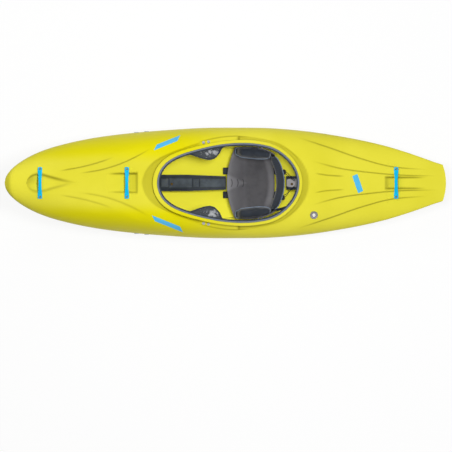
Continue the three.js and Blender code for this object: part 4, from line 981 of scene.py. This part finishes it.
def seat_section(x, turn):
    """The seat's plain section, y and z: y = half |sin|^.8 and z = base + (top - base)
    (1 - cos)^2.2, where the base goes up over the front and the top comes down."""
    up = smooth((SEAT["rise_to"] - x) / (SEAT["rise_to"] - SEAT["front"]))
    base = SEAT["base"] + SEAT["rise"] * up
    top = SEAT["top"] + (SEAT["low_top"] - SEAT["top"]) * up
    return (seat_half(x) * bulged(np.sin(turn), .8),
            base + (top - base) * (1 - np.cos(turn)) ** 2.2)


def seat_place(part, turn):
    """A place on the seat's upper face. Its front and rear lines curve by the square of the way
    out, but the rear of the side walls runs on to carry the pins. A low wedge runs back from
    the front's middle, the rear edge turns up, and the rear of the floor is a little hollow."""
    def at_x(y):
        front = SEAT["front"] + SEAT["sweep"] * (y / seat_half(SEAT["rise_to"])) ** 2
        cut = 24 * (y / 150) ** 2 * (1 - smooth((np.abs(turn) - 1.03) / .12))
        return front + (SEAT["rear"] - cut - front) * part
    y, z = seat_section(at_x(0), turn)
    x = at_x(y)
    wedge = 58 * (1 - (x - 9) / 130) - np.abs(y)
    rear_bow = 262 - 30 * (y / 150) ** 2
    hollow = np.exp(-((x - 205) / 62) ** 2 - (np.abs(y) / 105) ** 4)
    z = (z + 3 * smooth(wedge / 30 + .4)
         + 9 * smooth((x - rear_bow) / 30) * smooth((185 - np.abs(y)) / 40))
    return np.stack([x, y, z - 3 * hollow], -1)


def edged(length, edge, count):
    """Shares from 0 to 1 that lie close together within an edge's width of both ends."""
    near = edge / length * (1 - np.cos(np.linspace(0, math.pi / 2, 6)))
    middle = np.linspace(near[-1], 1 - near[-1], count)[1:-1]
    return np.concatenate([near, middle, 1 - near[::-1]])


def thin_moulding(name, place, length, girth, wall, finish, body, counts):
    """A moulded wall under a face: its thickness, set off along the face's own way out, falls to
    nothing at every edge by a quarter circle, so the rim is round and closed."""
    u, v = edged(length, wall / 2, counts[0]), edged(girth, wall / 2, counts[1])
    part, turn = u[:, None] + 0 * v[None, :], math.pi / 2 * (2 * v[None, :] - 1) + 0 * u[:, None]
    face = place(part, turn)
    out = np.cross(np.gradient(face, axis=0), np.gradient(face, axis=1))
    out = out / np.maximum(np.linalg.norm(out, axis=2), 1e-9)[:, :, None]
    out = out * np.sign(out[out.shape[0] // 2, out.shape[1] // 2, 2])
    edge_u = np.minimum(u, 1 - u)[:, None] * length / (wall / 2)
    edge_v = np.minimum(v, 1 - v)[None, :] * girth / (wall / 2)
    near = np.clip(np.minimum(edge_u + 0 * edge_v, edge_v + 0 * edge_u), 0, 1)
    swell = np.sqrt(1 - (1 - near) ** 2)[:, :, None] * wall / 2
    middle = face - out * wall / 2
    shape = part.shape
    points = np.concatenate([(middle + out * swell).reshape(-1, 3),
                             (middle - out * swell).reshape(-1, 3)])
    faces = grid_faces(*shape) + [f[::-1] for f in grid_faces(*shape, part.size)]
    return closed_up(mesh_piece(name, points, faces, finish, body), 60)


def applied(made):
    """Takes the modifiers of a piece into its mesh."""
    graph = bpy.context.evaluated_depsgraph_get()
    mesh = bpy.data.meshes.new_from_object(made.evaluated_get(graph))
    made.modifiers.clear()
    made.data = mesh


def cut_away(made, cutter):
    """Takes a cutter's room out of a piece, and the cutter out of the scene."""
    cut = made.modifiers.new("cut", "BOOLEAN")
    cut.operation, cut.object, cut.solver = "DIFFERENCE", cutter, "EXACT"
    applied(made)
    bpy.data.objects.remove(cutter)


seat_finish = grained("seat_plastic", (68, 67, 70), (81, 80, 83), 0.5, 0.0, 420)
# The raised rear rim, the front and a wedge back from the front's middle are painted paler: a
# painted highlight on the rim, and painted light on the front's steep slope, which the lamps leave
# darker. Three short groove lines across the wedge are painted dark, painted shade with no groove
# cut.
x_, y_, z_ = seat_finish.axes()
painted_highlight = seat_finish.step(x_ + y_ * y_ * 1.333, 0.252, 0.280) * 0.42
painted_highlight = painted_highlight + (1 - seat_finish.step(x_ - y_ * y_ * 1.06, 0.05, 0.135)) * 0.42
painted_highlight = painted_highlight + seat_finish.step(0.062 - x_ * 0.46 - abs(y_), -0.004, 0.014) * 0.3
# Dark lines painted where groove lines would be: painted shade.
painted_groove_shade = 0
for rib in (0.042, 0.078, 0.112):
    off = abs(x_ - rib + y_ * y_ * 11.8)
    painted_groove_shade = (1 - seat_finish.step(off, 0.0015, 0.0036)) + painted_groove_shade
painted_groove_shade = painted_groove_shade * (1 - seat_finish.step(abs(y_), 0.021, 0.026))
plain_grey = Value(seat_finish, seat_finish.shader.inputs["Base Color"].links[0].from_socket)
highlit_grey = seat_finish.mix(painted_highlight, plain_grey, srgb(146, 145, 149))
seat_finish.use(Base_Color=seat_finish.mix(painted_groove_shade * 0.75, highlit_grey, srgb(40, 40, 44)))
seat = thin_moulding("seat", seat_place, SEAT["length"], SEAT["girth"], SEAT["wall"],
                     seat_finish, "seat", (66, 120))
SLOT_HALF = 4.5
slot_outline = [(x + SLOT_HALF * math.cos(t), SLOT_HALF * math.sin(t))
                for x, first in ((182.5, .5), (245, -.5))
                for t in math.pi * np.linspace(first, first + 1, 12)]
for _, side in SIDES:
    near, far = ([(x, side * y, 268 + z) for x, z in slot_outline] for y in (150, 300))
    cut_away(seat, prism("slot_cutter", near, far, seat_finish, "seat"))
seat.data.set_sharp_from_angle(angle=math.radians(45))
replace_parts(seat, "seat_pan")


# Hip pads: shaped foam under a stretch cover, one on each side wall of the seat. The cover is
# sewn in two halves, and the seam between them is piped in lighter blue-grey.
def stretch_cover(name, light, dark, thread):
    """A knitted cover: fine crossed ribs of the yarn, soft fuzz, and slow clouds of wear."""
    finish = Finish(name, Roughness=0.9, Sheen_Weight=0.25, Sheen_Roughness=0.5)
    x_, y_, z_ = finish.axes()
    fuzz = finish.noise(380, 4)
    wear = finish.step(finish.noise(16, 4), 0.35, 0.7)
    knit = ((x_ + z_ * 0.6) * thread).sine() * ((y_ * 0.8 + z_) * thread).sine() * 0.25 + 0.5
    finish.use(Base_Color=finish.mix(wear * 0.6 + fuzz * 0.4, dark, light),
               Roughness=0.78 + fuzz * 0.18)
    finish.bump(knit * 0.6 + fuzz * 0.4, 0.5, 0.0006)
    return finish


cover = stretch_cover("pad_cover", srgb(50, 55, 64), srgb(33, 38, 45), 3200)
piping_finish = stretch_cover("blue_grey_piping", srgb(128, 146, 168), srgb(98, 114, 134), 5200)


def plumped(node, name, finish, body, smaller, cell=5.0, pressure=4.0, most=5.0, steps=20):
    """A pad from a solid's own form: drawn in a little, remeshed in even cells, blown up as
    cloth for some steps with no point moving further than the most, and smoothed once."""
    merged = bmesh.new()
    merged.from_mesh(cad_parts[node].data)
    bmesh.ops.remove_doubles(merged, verts=merged.verts, dist=1e-5)
    mesh = bpy.data.meshes.new(name)
    merged.to_mesh(mesh)
    merged.free()
    places = points_of(mesh)
    middle = (places.max(0) + places.min(0)) / 2
    mesh.vertices.foreach_set("co", (middle + (places - middle) * smaller).ravel())
    made = placed(name, mesh)
    cells = made.modifiers.new("cells", "REMESH")
    cells.mode, cells.voxel_size, cells.use_smooth_shade = "VOXEL", cell * MM, True
    soften = made.modifiers.new("soften", "SMOOTH")
    soften.factor, soften.iterations = 0.5, 6
    applied(made)
    start = points_of(made.data)
    cloth = made.modifiers.new("cloth", "CLOTH")
    cloth.settings.quality = 5
    cloth.settings.use_pressure = True
    cloth.settings.uniform_pressure_force = pressure
    cloth.settings.effector_weights.gravity = 0
    for step_ in range(1, steps + 1):
        bpy.context.scene.frame_set(step_)
    blown = made.evaluated_get(bpy.context.evaluated_depsgraph_get())
    move = points_of(blown.to_mesh()) - start
    blown.to_mesh_clear()
    made.modifiers.clear()
    bpy.context.scene.frame_set(1)
    far = np.linalg.norm(move, axis=1)[:, None]
    start += move * np.minimum(1, most * MM / np.maximum(far, 1e-9))
    made.data.vertices.foreach_set("co", start.ravel())
    finer = made.modifiers.new("finer", "SUBSURF")
    finer.levels = finer.render_levels = 1
    applied(made)
    made.data.materials.clear()
    made.data.materials.append(finish.material)
    made.data.shade_smooth()
    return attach(made, body)


def on_surface(made, path, lift):
    """The nearest places of a piece to a path, raised off it along its own way out."""
    tree = BVHTree.FromObject(made, bpy.context.evaluated_depsgraph_get())
    found = [tree.find_nearest(Vector(point * MM)) for point in np.asarray(path, float)]
    return np.array([np.array(place) / MM + lift * np.array(way) for place, way, *_ in found])


circle = np.stack([np.cos(ring_of(10)), np.sin(ring_of(10))], 1)


def piped(name, made, path, radius, body):
    """Piping along a closed path on a piece: a thin round tube half sunk in the surface."""
    line = on_surface(made, path, radius * .3)
    for _ in range(2):
        line = (np.roll(line, 1, 0) + 2 * line + np.roll(line, -1, 0)) / 4
    return carried(name, line, radius * circle, piping_finish, body, up=(.3, .2, 1),
                           closed=True)


PAD = {"middle_x": 165.5, "half": 109.5, "middle_z": 161.0, "slant": 20.0, "rear": 275.0,
       "run": 219.0, "outer_y": 222.0, "thick": 78.0, "squareness": 3.2, "off_seat": .6}
for side_name, side in SIDES:
    pad = plumped(f"hip_pad_{side_name}", f"hip_pad_cover_{side_name}", cover, "seat",
                  (0.985, .93, .96))

    def slanted(points):
        """The pad's inner face goes outward towards the bow, by up to the slant."""
        forward = np.clip((PAD["rear"] - points[:, 0]) / PAD["run"], 0, 1) ** 1.3
        inner = np.clip((PAD["outer_y"] - np.abs(points[:, 1])) / PAD["thick"], 0, 1)
        outward = side * PAD["slant"] * forward * inner
        return points + np.stack([0 * outward, outward, 0 * outward], 1)

    def fitted(points):
        """The top is squared towards its ends: its height above the middle goes from
        (1 - u^2)^(1/2) to (1 - |u|^p)^(1/p), where p is the squareness. Then it is slanted, and
        kept a little off the seat's side."""
        points = points.copy()
        u = np.clip((points[:, 0] - PAD["middle_x"]) / PAD["half"], -1, 1)
        points[:, 0] = PAD["middle_x"] + PAD["half"] * np.sign(u) * (1 - (1 - np.abs(u)) ** 1.4)
        u = np.clip(np.abs(u), 0, .995)
        power = PAD["squareness"]
        squarer = np.minimum((1 - u ** power) ** (1 / power) / np.sqrt(1 - u * u), 1.75)
        above = points[:, 2] - PAD["middle_z"]
        points[:, 2] = PAD["middle_z"] + above * np.where(above > 0, squarer, 1)
        points = slanted(points)
        walls = seat_section(np.clip(points[:, :1], 60, 300), np.linspace(.3, math.pi / 2, 60))
        limit = np.array([np.interp(z, zs, ys) for z, ys, zs in zip(points[:, 2], *walls)])
        points[:, 1] = side * np.minimum(side * points[:, 1], limit - PAD["off_seat"])
        return points

    moved(pad, fitted)
    turn = ring_of(180)
    ring = np.stack([PAD["middle_x"] + 114 * bulged(np.cos(turn), .6),
                     side * (183 + 43 * bulged(np.sin(turn), .6)),
                     190 + 15 * np.minimum(np.cos(turn), 0)], 1)
    piped(f"hip_pad_piping_{side_name}", pad, slanted(ring), 2.6, "seat")
    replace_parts(pad, f"hip_pad_{side_name}")


# Backband: a crescent of foam in the same stretch cover, quilted in narrow channels across and
# piped along its rear edge. A stiffener behind it turns on two pins in the seat's sides.
BAND = {"reach": 169.0, "middle_x": 337.0, "bow": 40.0, "bow_at": 148.0, "half": 26.0,
        "middle_z": 208.0, "low": 34.0, "more": 22.0, "channel": 12.5}


def band_place(a, turn, grow=0.0):
    """A place on the backband: its centre line is bowed by the square of the way out, and the
    section square to that is a superellipse that closes at both ends by (1 - |a|^7)^0.45."""
    y = BAND["reach"] * a * (1 - .075 * np.abs(a) ** 9)
    closing = (1 - np.minimum(np.abs(a), 1) ** 7) ** .45
    out = np.abs(y) / BAND["bow_at"]
    slope = -2 * BAND["bow"] * y / BAND["bow_at"] ** 2
    groove = (.5 + .5 * np.cos(2 * math.pi * y / BAND["channel"])) ** 4
    half = BAND["half"] - out ** 2 - 1.6 * groove + grow
    tall = BAND["low"] + BAND["more"] * (1 - np.minimum(out, 1) ** 4) - 1.2 * groove + grow
    across = bulged(np.cos(turn), .7) * half * closing / np.sqrt(1 + slope ** 2)
    return np.stack([BAND["middle_x"] - BAND["bow"] * out ** 2 + across, y - across * slope,
                     BAND["middle_z"] + bulged(np.sin(turn), .75) * tall * closing], -1)


even = np.linspace(-1, 1, 241)
a = np.sin(math.pi / 2 * even) * .6 + .4 * even
a[0], a[-1] = -.9999, .9999
turn = ring_of(44)
band_points = band_place(a[:, None] + 0 * turn, turn[None, :] + 0 * a[:, None])
band = closed_up(mesh_piece("backband", band_points.reshape(-1, 3),
                            tube_faces(len(a), len(turn)), cover, "backband"), 60)
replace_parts(band, "backband_pad")
go = np.linspace(-.96, .96, 90)
ring = np.concatenate([band_place(go, .62 + 0 * go, 1.5),
                       band_place(go[::-1], -.62 + 0 * go, 1.5)])
carried("backband_piping", ring, 3.0 * circle, piping_finish, "backband", up=(.2, .1, 1),
                closed=True)

buckle_finish = grained("black_buckle_plastic", (24, 27, 32), (34, 37, 43), 0.4)
softened("backband_stiffener", "stiffener", rail_finish, "backband", 1.2)
for side_name, _ in SIDES:
    softened(f"backband_pin_{side_name}", f"pin_{side_name}", rail_finish, "seat",
             0.6)
    softened(f"backband_buckle_{side_name}", f"buckle_{side_name}", buckle_finish,
             "backband")


# Cords: two strands of black shock cord from each buckle to the rear rail's block. They pull the
# backband's top aft, and run into the block, where a knot holds them.
def woven(name, light, dark, threads):
    """Woven yarn: two crossed sets of ribs on the piece's own place."""
    finish = Finish(name, Roughness=0.8)
    x_, y_, z_ = finish.axes()
    along = ((x_ + y_ * .7) * threads).sine()
    weave = along * ((z_ * 1.2 - y_ * .8 + x_ * .2) * threads).sine() * .5 + .5
    finish.use(Base_Color=finish.mix(weave, dark, light))
    finish.bump(weave, 0.6, 0.0005)
    return finish


cord_finish = woven("shock_cord", srgb(46, 54, 66), srgb(24, 30, 38), 3600)
webbing_finish = woven("black_webbing", srgb(44, 50, 60), srgb(26, 30, 38), 2600)


def eased(points, count=40):
    """A smooth path through points: a piece of a cubic between each two."""
    points = np.asarray(points, float)
    along = np.concatenate([[0], np.cumsum(np.linalg.norm(np.diff(points, axis=0), axis=1))])
    where = np.linspace(0, along[-1], count)
    return np.stack([through(list(zip(along, points[:, k])))(where) for k in range(3)], 1)


for side_name, buckle_y, exit_x in (("port", -90, 356.1), ("starboard", 67, 363.1)):
    lock_outline = [(exit_x - 3 + x_, buckle_y + y_) for x_, y_ in
                    ((0, -13), (7, -13), (11, -9), (11, 9), (7, 13), (0, 13))]
    slab(f"cord_lock_{side_name}", lock_outline, 196, 211, buckle_finish, "backband", 2)
    for strand, apart in (("inner", -1), ("outer", 1)):
        y_from = .9 * buckle_y + apart * 7 * np.sign(buckle_y)
        y_to = .25 * buckle_y + apart * 3.5
        path = eased([(exit_x - 4, y_from, 205), (exit_x + 5, y_from, 203),
                      ((exit_x + 427.5) / 2, (y_from + y_to) / 2, 168),
                      (424, y_to, 136), (437, y_to * .98, 131)])
        cord = carried(f"shock_cord_{side_name}_{strand}", path, 1.9 * circle, cord_finish, "seat")
        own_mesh(cord)
    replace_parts(cord, f"backband_cord_{side_name}")


# Webbing: a loose tail from the backband's port end, and on each side a strap on edge from under
# the thigh brace to the seat's side, all of flat black webbing.
def flat_strap(name, path, width, body, up, tapered=0.0):
    """Flat webbing along a path: 1.6 mm thick, narrowing to its end by the taper's share."""
    go = np.linspace(0, 1, len(path))
    strap = carried(name, path, rounded_bar(width / 2, .8, .7, 2), webbing_finish, body, up=up,
                    sizes=1 - tapered * smooth((go - .7) / .3))
    return strap


tail = eased([(288, -160, 196), (318, -163, 194), (352, -156, 180), (382, -143, 156),
              (389, -138, 146)])
flat_strap("backband_strap_tail", tail, 17, "backband", (0, .35, 1), .72)
for side_name, side in SIDES:
    strap = eased([(-62, side * 216, 252), (-20, side * 218, 241), (30, side * 213, 228),
                   (76, side * 205, 214)])
    flat_strap(f"side_strap_{side_name}", strap, 20, "seat", (0, side, .05))


# Thigh braces: plates moulded in dark plastic, hooked over the thighs under the deck. Each has a
# raised rim along its free edge. Its middle is glossier in mottled spots, which are painted pale
# and flecked white: a painted sheen and painted glints.
brace_finish = Finish("mottled_brace_plastic", IOR=1.5, Coat_Weight=0.35, Coat_Roughness=0.15)
x_, y_, z_ = brace_finish.axes()
off_middle = abs(y_) - 0.186
away = (x_ + 0.082) * (x_ + 0.082) * 0.55 + off_middle * off_middle * 1.6
middle = 1 - brace_finish.step(away, 0.0003, 0.0016)
# Pale mottled spots and white flecks: painted sheen and painted glints; the spots are also less
# rough.
gloss_and_painted_sheen = brace_finish.step(brace_finish.noise(34, 5, 0.62), 0.44, 0.60) * middle
painted_glints = brace_finish.step(brace_finish.noise(230, 2), 0.69, 0.73)
mottled = brace_finish.mix(gloss_and_painted_sheen, srgb(46, 52, 58), srgb(168, 171, 176))
brace_finish.use(Base_Color=brace_finish.mix(painted_glints, mottled, srgb(226, 228, 230)),
                 Roughness=0.42 - gloss_and_painted_sheen * 0.2)
brace_finish.bump(brace_finish.noise(70, 4), 0.35, 0.0009)
RIM = [(-234, 187), (-208, 176), (-179, 165), (-133, 150), (-95, 144.5), (-70, 151.5),
       (-54, 164), (-40, 182), (-24, 215), (-13, 227)]
for side_name, side in SIDES:
    node = f"thigh_brace_{side_name}"
    softened(node, f"brace_plate_{side_name}", brace_finish, f"brace_{side_name}",
             2, 3)
    low, high = box_of(node)
    rim = [(x, side * y, high[2] - .2586 * (x - low[0]) + .6) for x, y in RIM]
    carried(f"brace_rim_{side_name}", eased(rim, 60), rounded_bar(4.2, 2.6, 2, 3),
                    rail_finish, f"brace_{side_name}")


# Footrest: a moulded plate across the boat with a sheet of closed-cell foam on its face. Its
# shoes slide on two rails, which are bolted to the boat's sides.
foam_finish = clouded("closed_cell_foam", (58, 61, 66), (76, 79, 84), (40, 4),
                      (0.86, 0.1, 90, 3), None)
cells = foam_finish.node("TexVoronoi", None, {"Vector": foam_finish.place, "Scale": 420},
                         "Distance")
foam_finish.bump(cells, 0.5, 0.0008)
softened("footrest_plate", "footrest", rail_finish, "footrest", 1.4)
softened("footrest_foam", "footrest_cushion", foam_finish, "footrest", 4, 3)
for side_name, _ in SIDES:
    softened(f"footrest_rail_{side_name}", f"side_rail_{side_name}", rail_finish,
             "hull", 1)


# Pillars: blocks of stiff foam that stand on edge along the middle, bow and stern, and keep the
# deck from collapsing.
for end in ("bow", "stern"):
    softened(f"{end}_pillar", f"{end}_foam_wall", foam_finish, "hull", 4,
                       3)


# Stripes: plain slanted bars of blue film on the deck, two ahead of the mouth and one astern.
# They follow the deck just above its skin.
film_finish = clouded("blue_film", (60, 164, 214), (84, 186, 230), (22, 3), (0.34, 0.12, 300, 2),
                      None, IOR=1.5, Coat_Weight=0.2)
STRIPES = [("port", (-440, -216), (-268, -285), 13, 30),
           ("starboard", (-428, 217), (-284, 275), 13, 30), ("stern", (792, 48), (828, -56), 17, 3)]
FILM_ROWS, FILM_COLUMNS = 60, 12
FILM_POINTS = FILM_ROWS * FILM_COLUMNS
for stripe_name, start, end, half_width, slant in STRIPES:
    along = np.linspace(0, 1, FILM_ROWS)[:, None]
    across = np.linspace(-1, 1, FILM_COLUMNS)[None, :]
    run = np.array(end, float) - start
    ahead = unit(run)
    shift = slant * .5 * across * np.sign(run[1])
    x = start[0] + run[0] * along - ahead[1] * half_width * across + ahead[0] * shift
    y = start[1] + run[1] * along + ahead[0] * half_width * across + ahead[1] * shift
    film = [np.stack([x, y, deck_form(x, y) + lift], 2).reshape(-1, 3) for lift in (.1, .7)]
    faces = [f[::-1] for f in grid_faces(FILM_ROWS, FILM_COLUMNS)]
    faces += grid_faces(FILM_ROWS, FILM_COLUMNS, FILM_POINTS)
    numbers = np.arange(FILM_POINTS).reshape(FILM_ROWS, FILM_COLUMNS)
    edge = [*numbers[:, 0], *numbers[-1, 1:], *numbers[-2::-1, -1], *numbers[0, -2:0:-1]]
    edge = [int(number) for number in edge]
    faces += [[a_, b_, b_ + FILM_POINTS, a_ + FILM_POINTS]
              for a_, b_ in zip(edge, edge[1:] + edge[:1])]
    closed_up(mesh_piece(f"blue_stripe_{stripe_name}", np.concatenate(film), faces,
                                 film_finish))


# The floor under the boat. The camera sees it mostly as plain white; the rest of what it sees is
# the lit surface, which carries the boat's soft shadow.
FLOOR_WHITE = 0.9
floor = placed("floor", bpy.data.meshes.new("floor"))
floor.data.from_pydata([(-8, -8, 0), (8, -8, 0), (8, 8, 0), (-8, 8, 0)], [], [(0, 1, 2, 3)])
floor_finish = Finish("studio_floor", Base_Color=(0.9, 0.9, 0.9, 1), Roughness=0.9)
floor.data.materials.append(floor_finish.material)
seen = floor_finish.node("LightPath", out="Is Camera Ray")
white = floor_finish.node("Emission", None, {"Color": (1, 1, 1, 1), "Strength": 1.0})
both = floor_finish.node("MixShader", None, {0: seen * FLOOR_WHITE,
                                             1: Value(floor_finish, floor_finish.shader.outputs[0]),
                                             2: white})
floor_finish.tree.links.new(both.socket, floor_finish.tree.nodes["Material Output"].inputs[0])
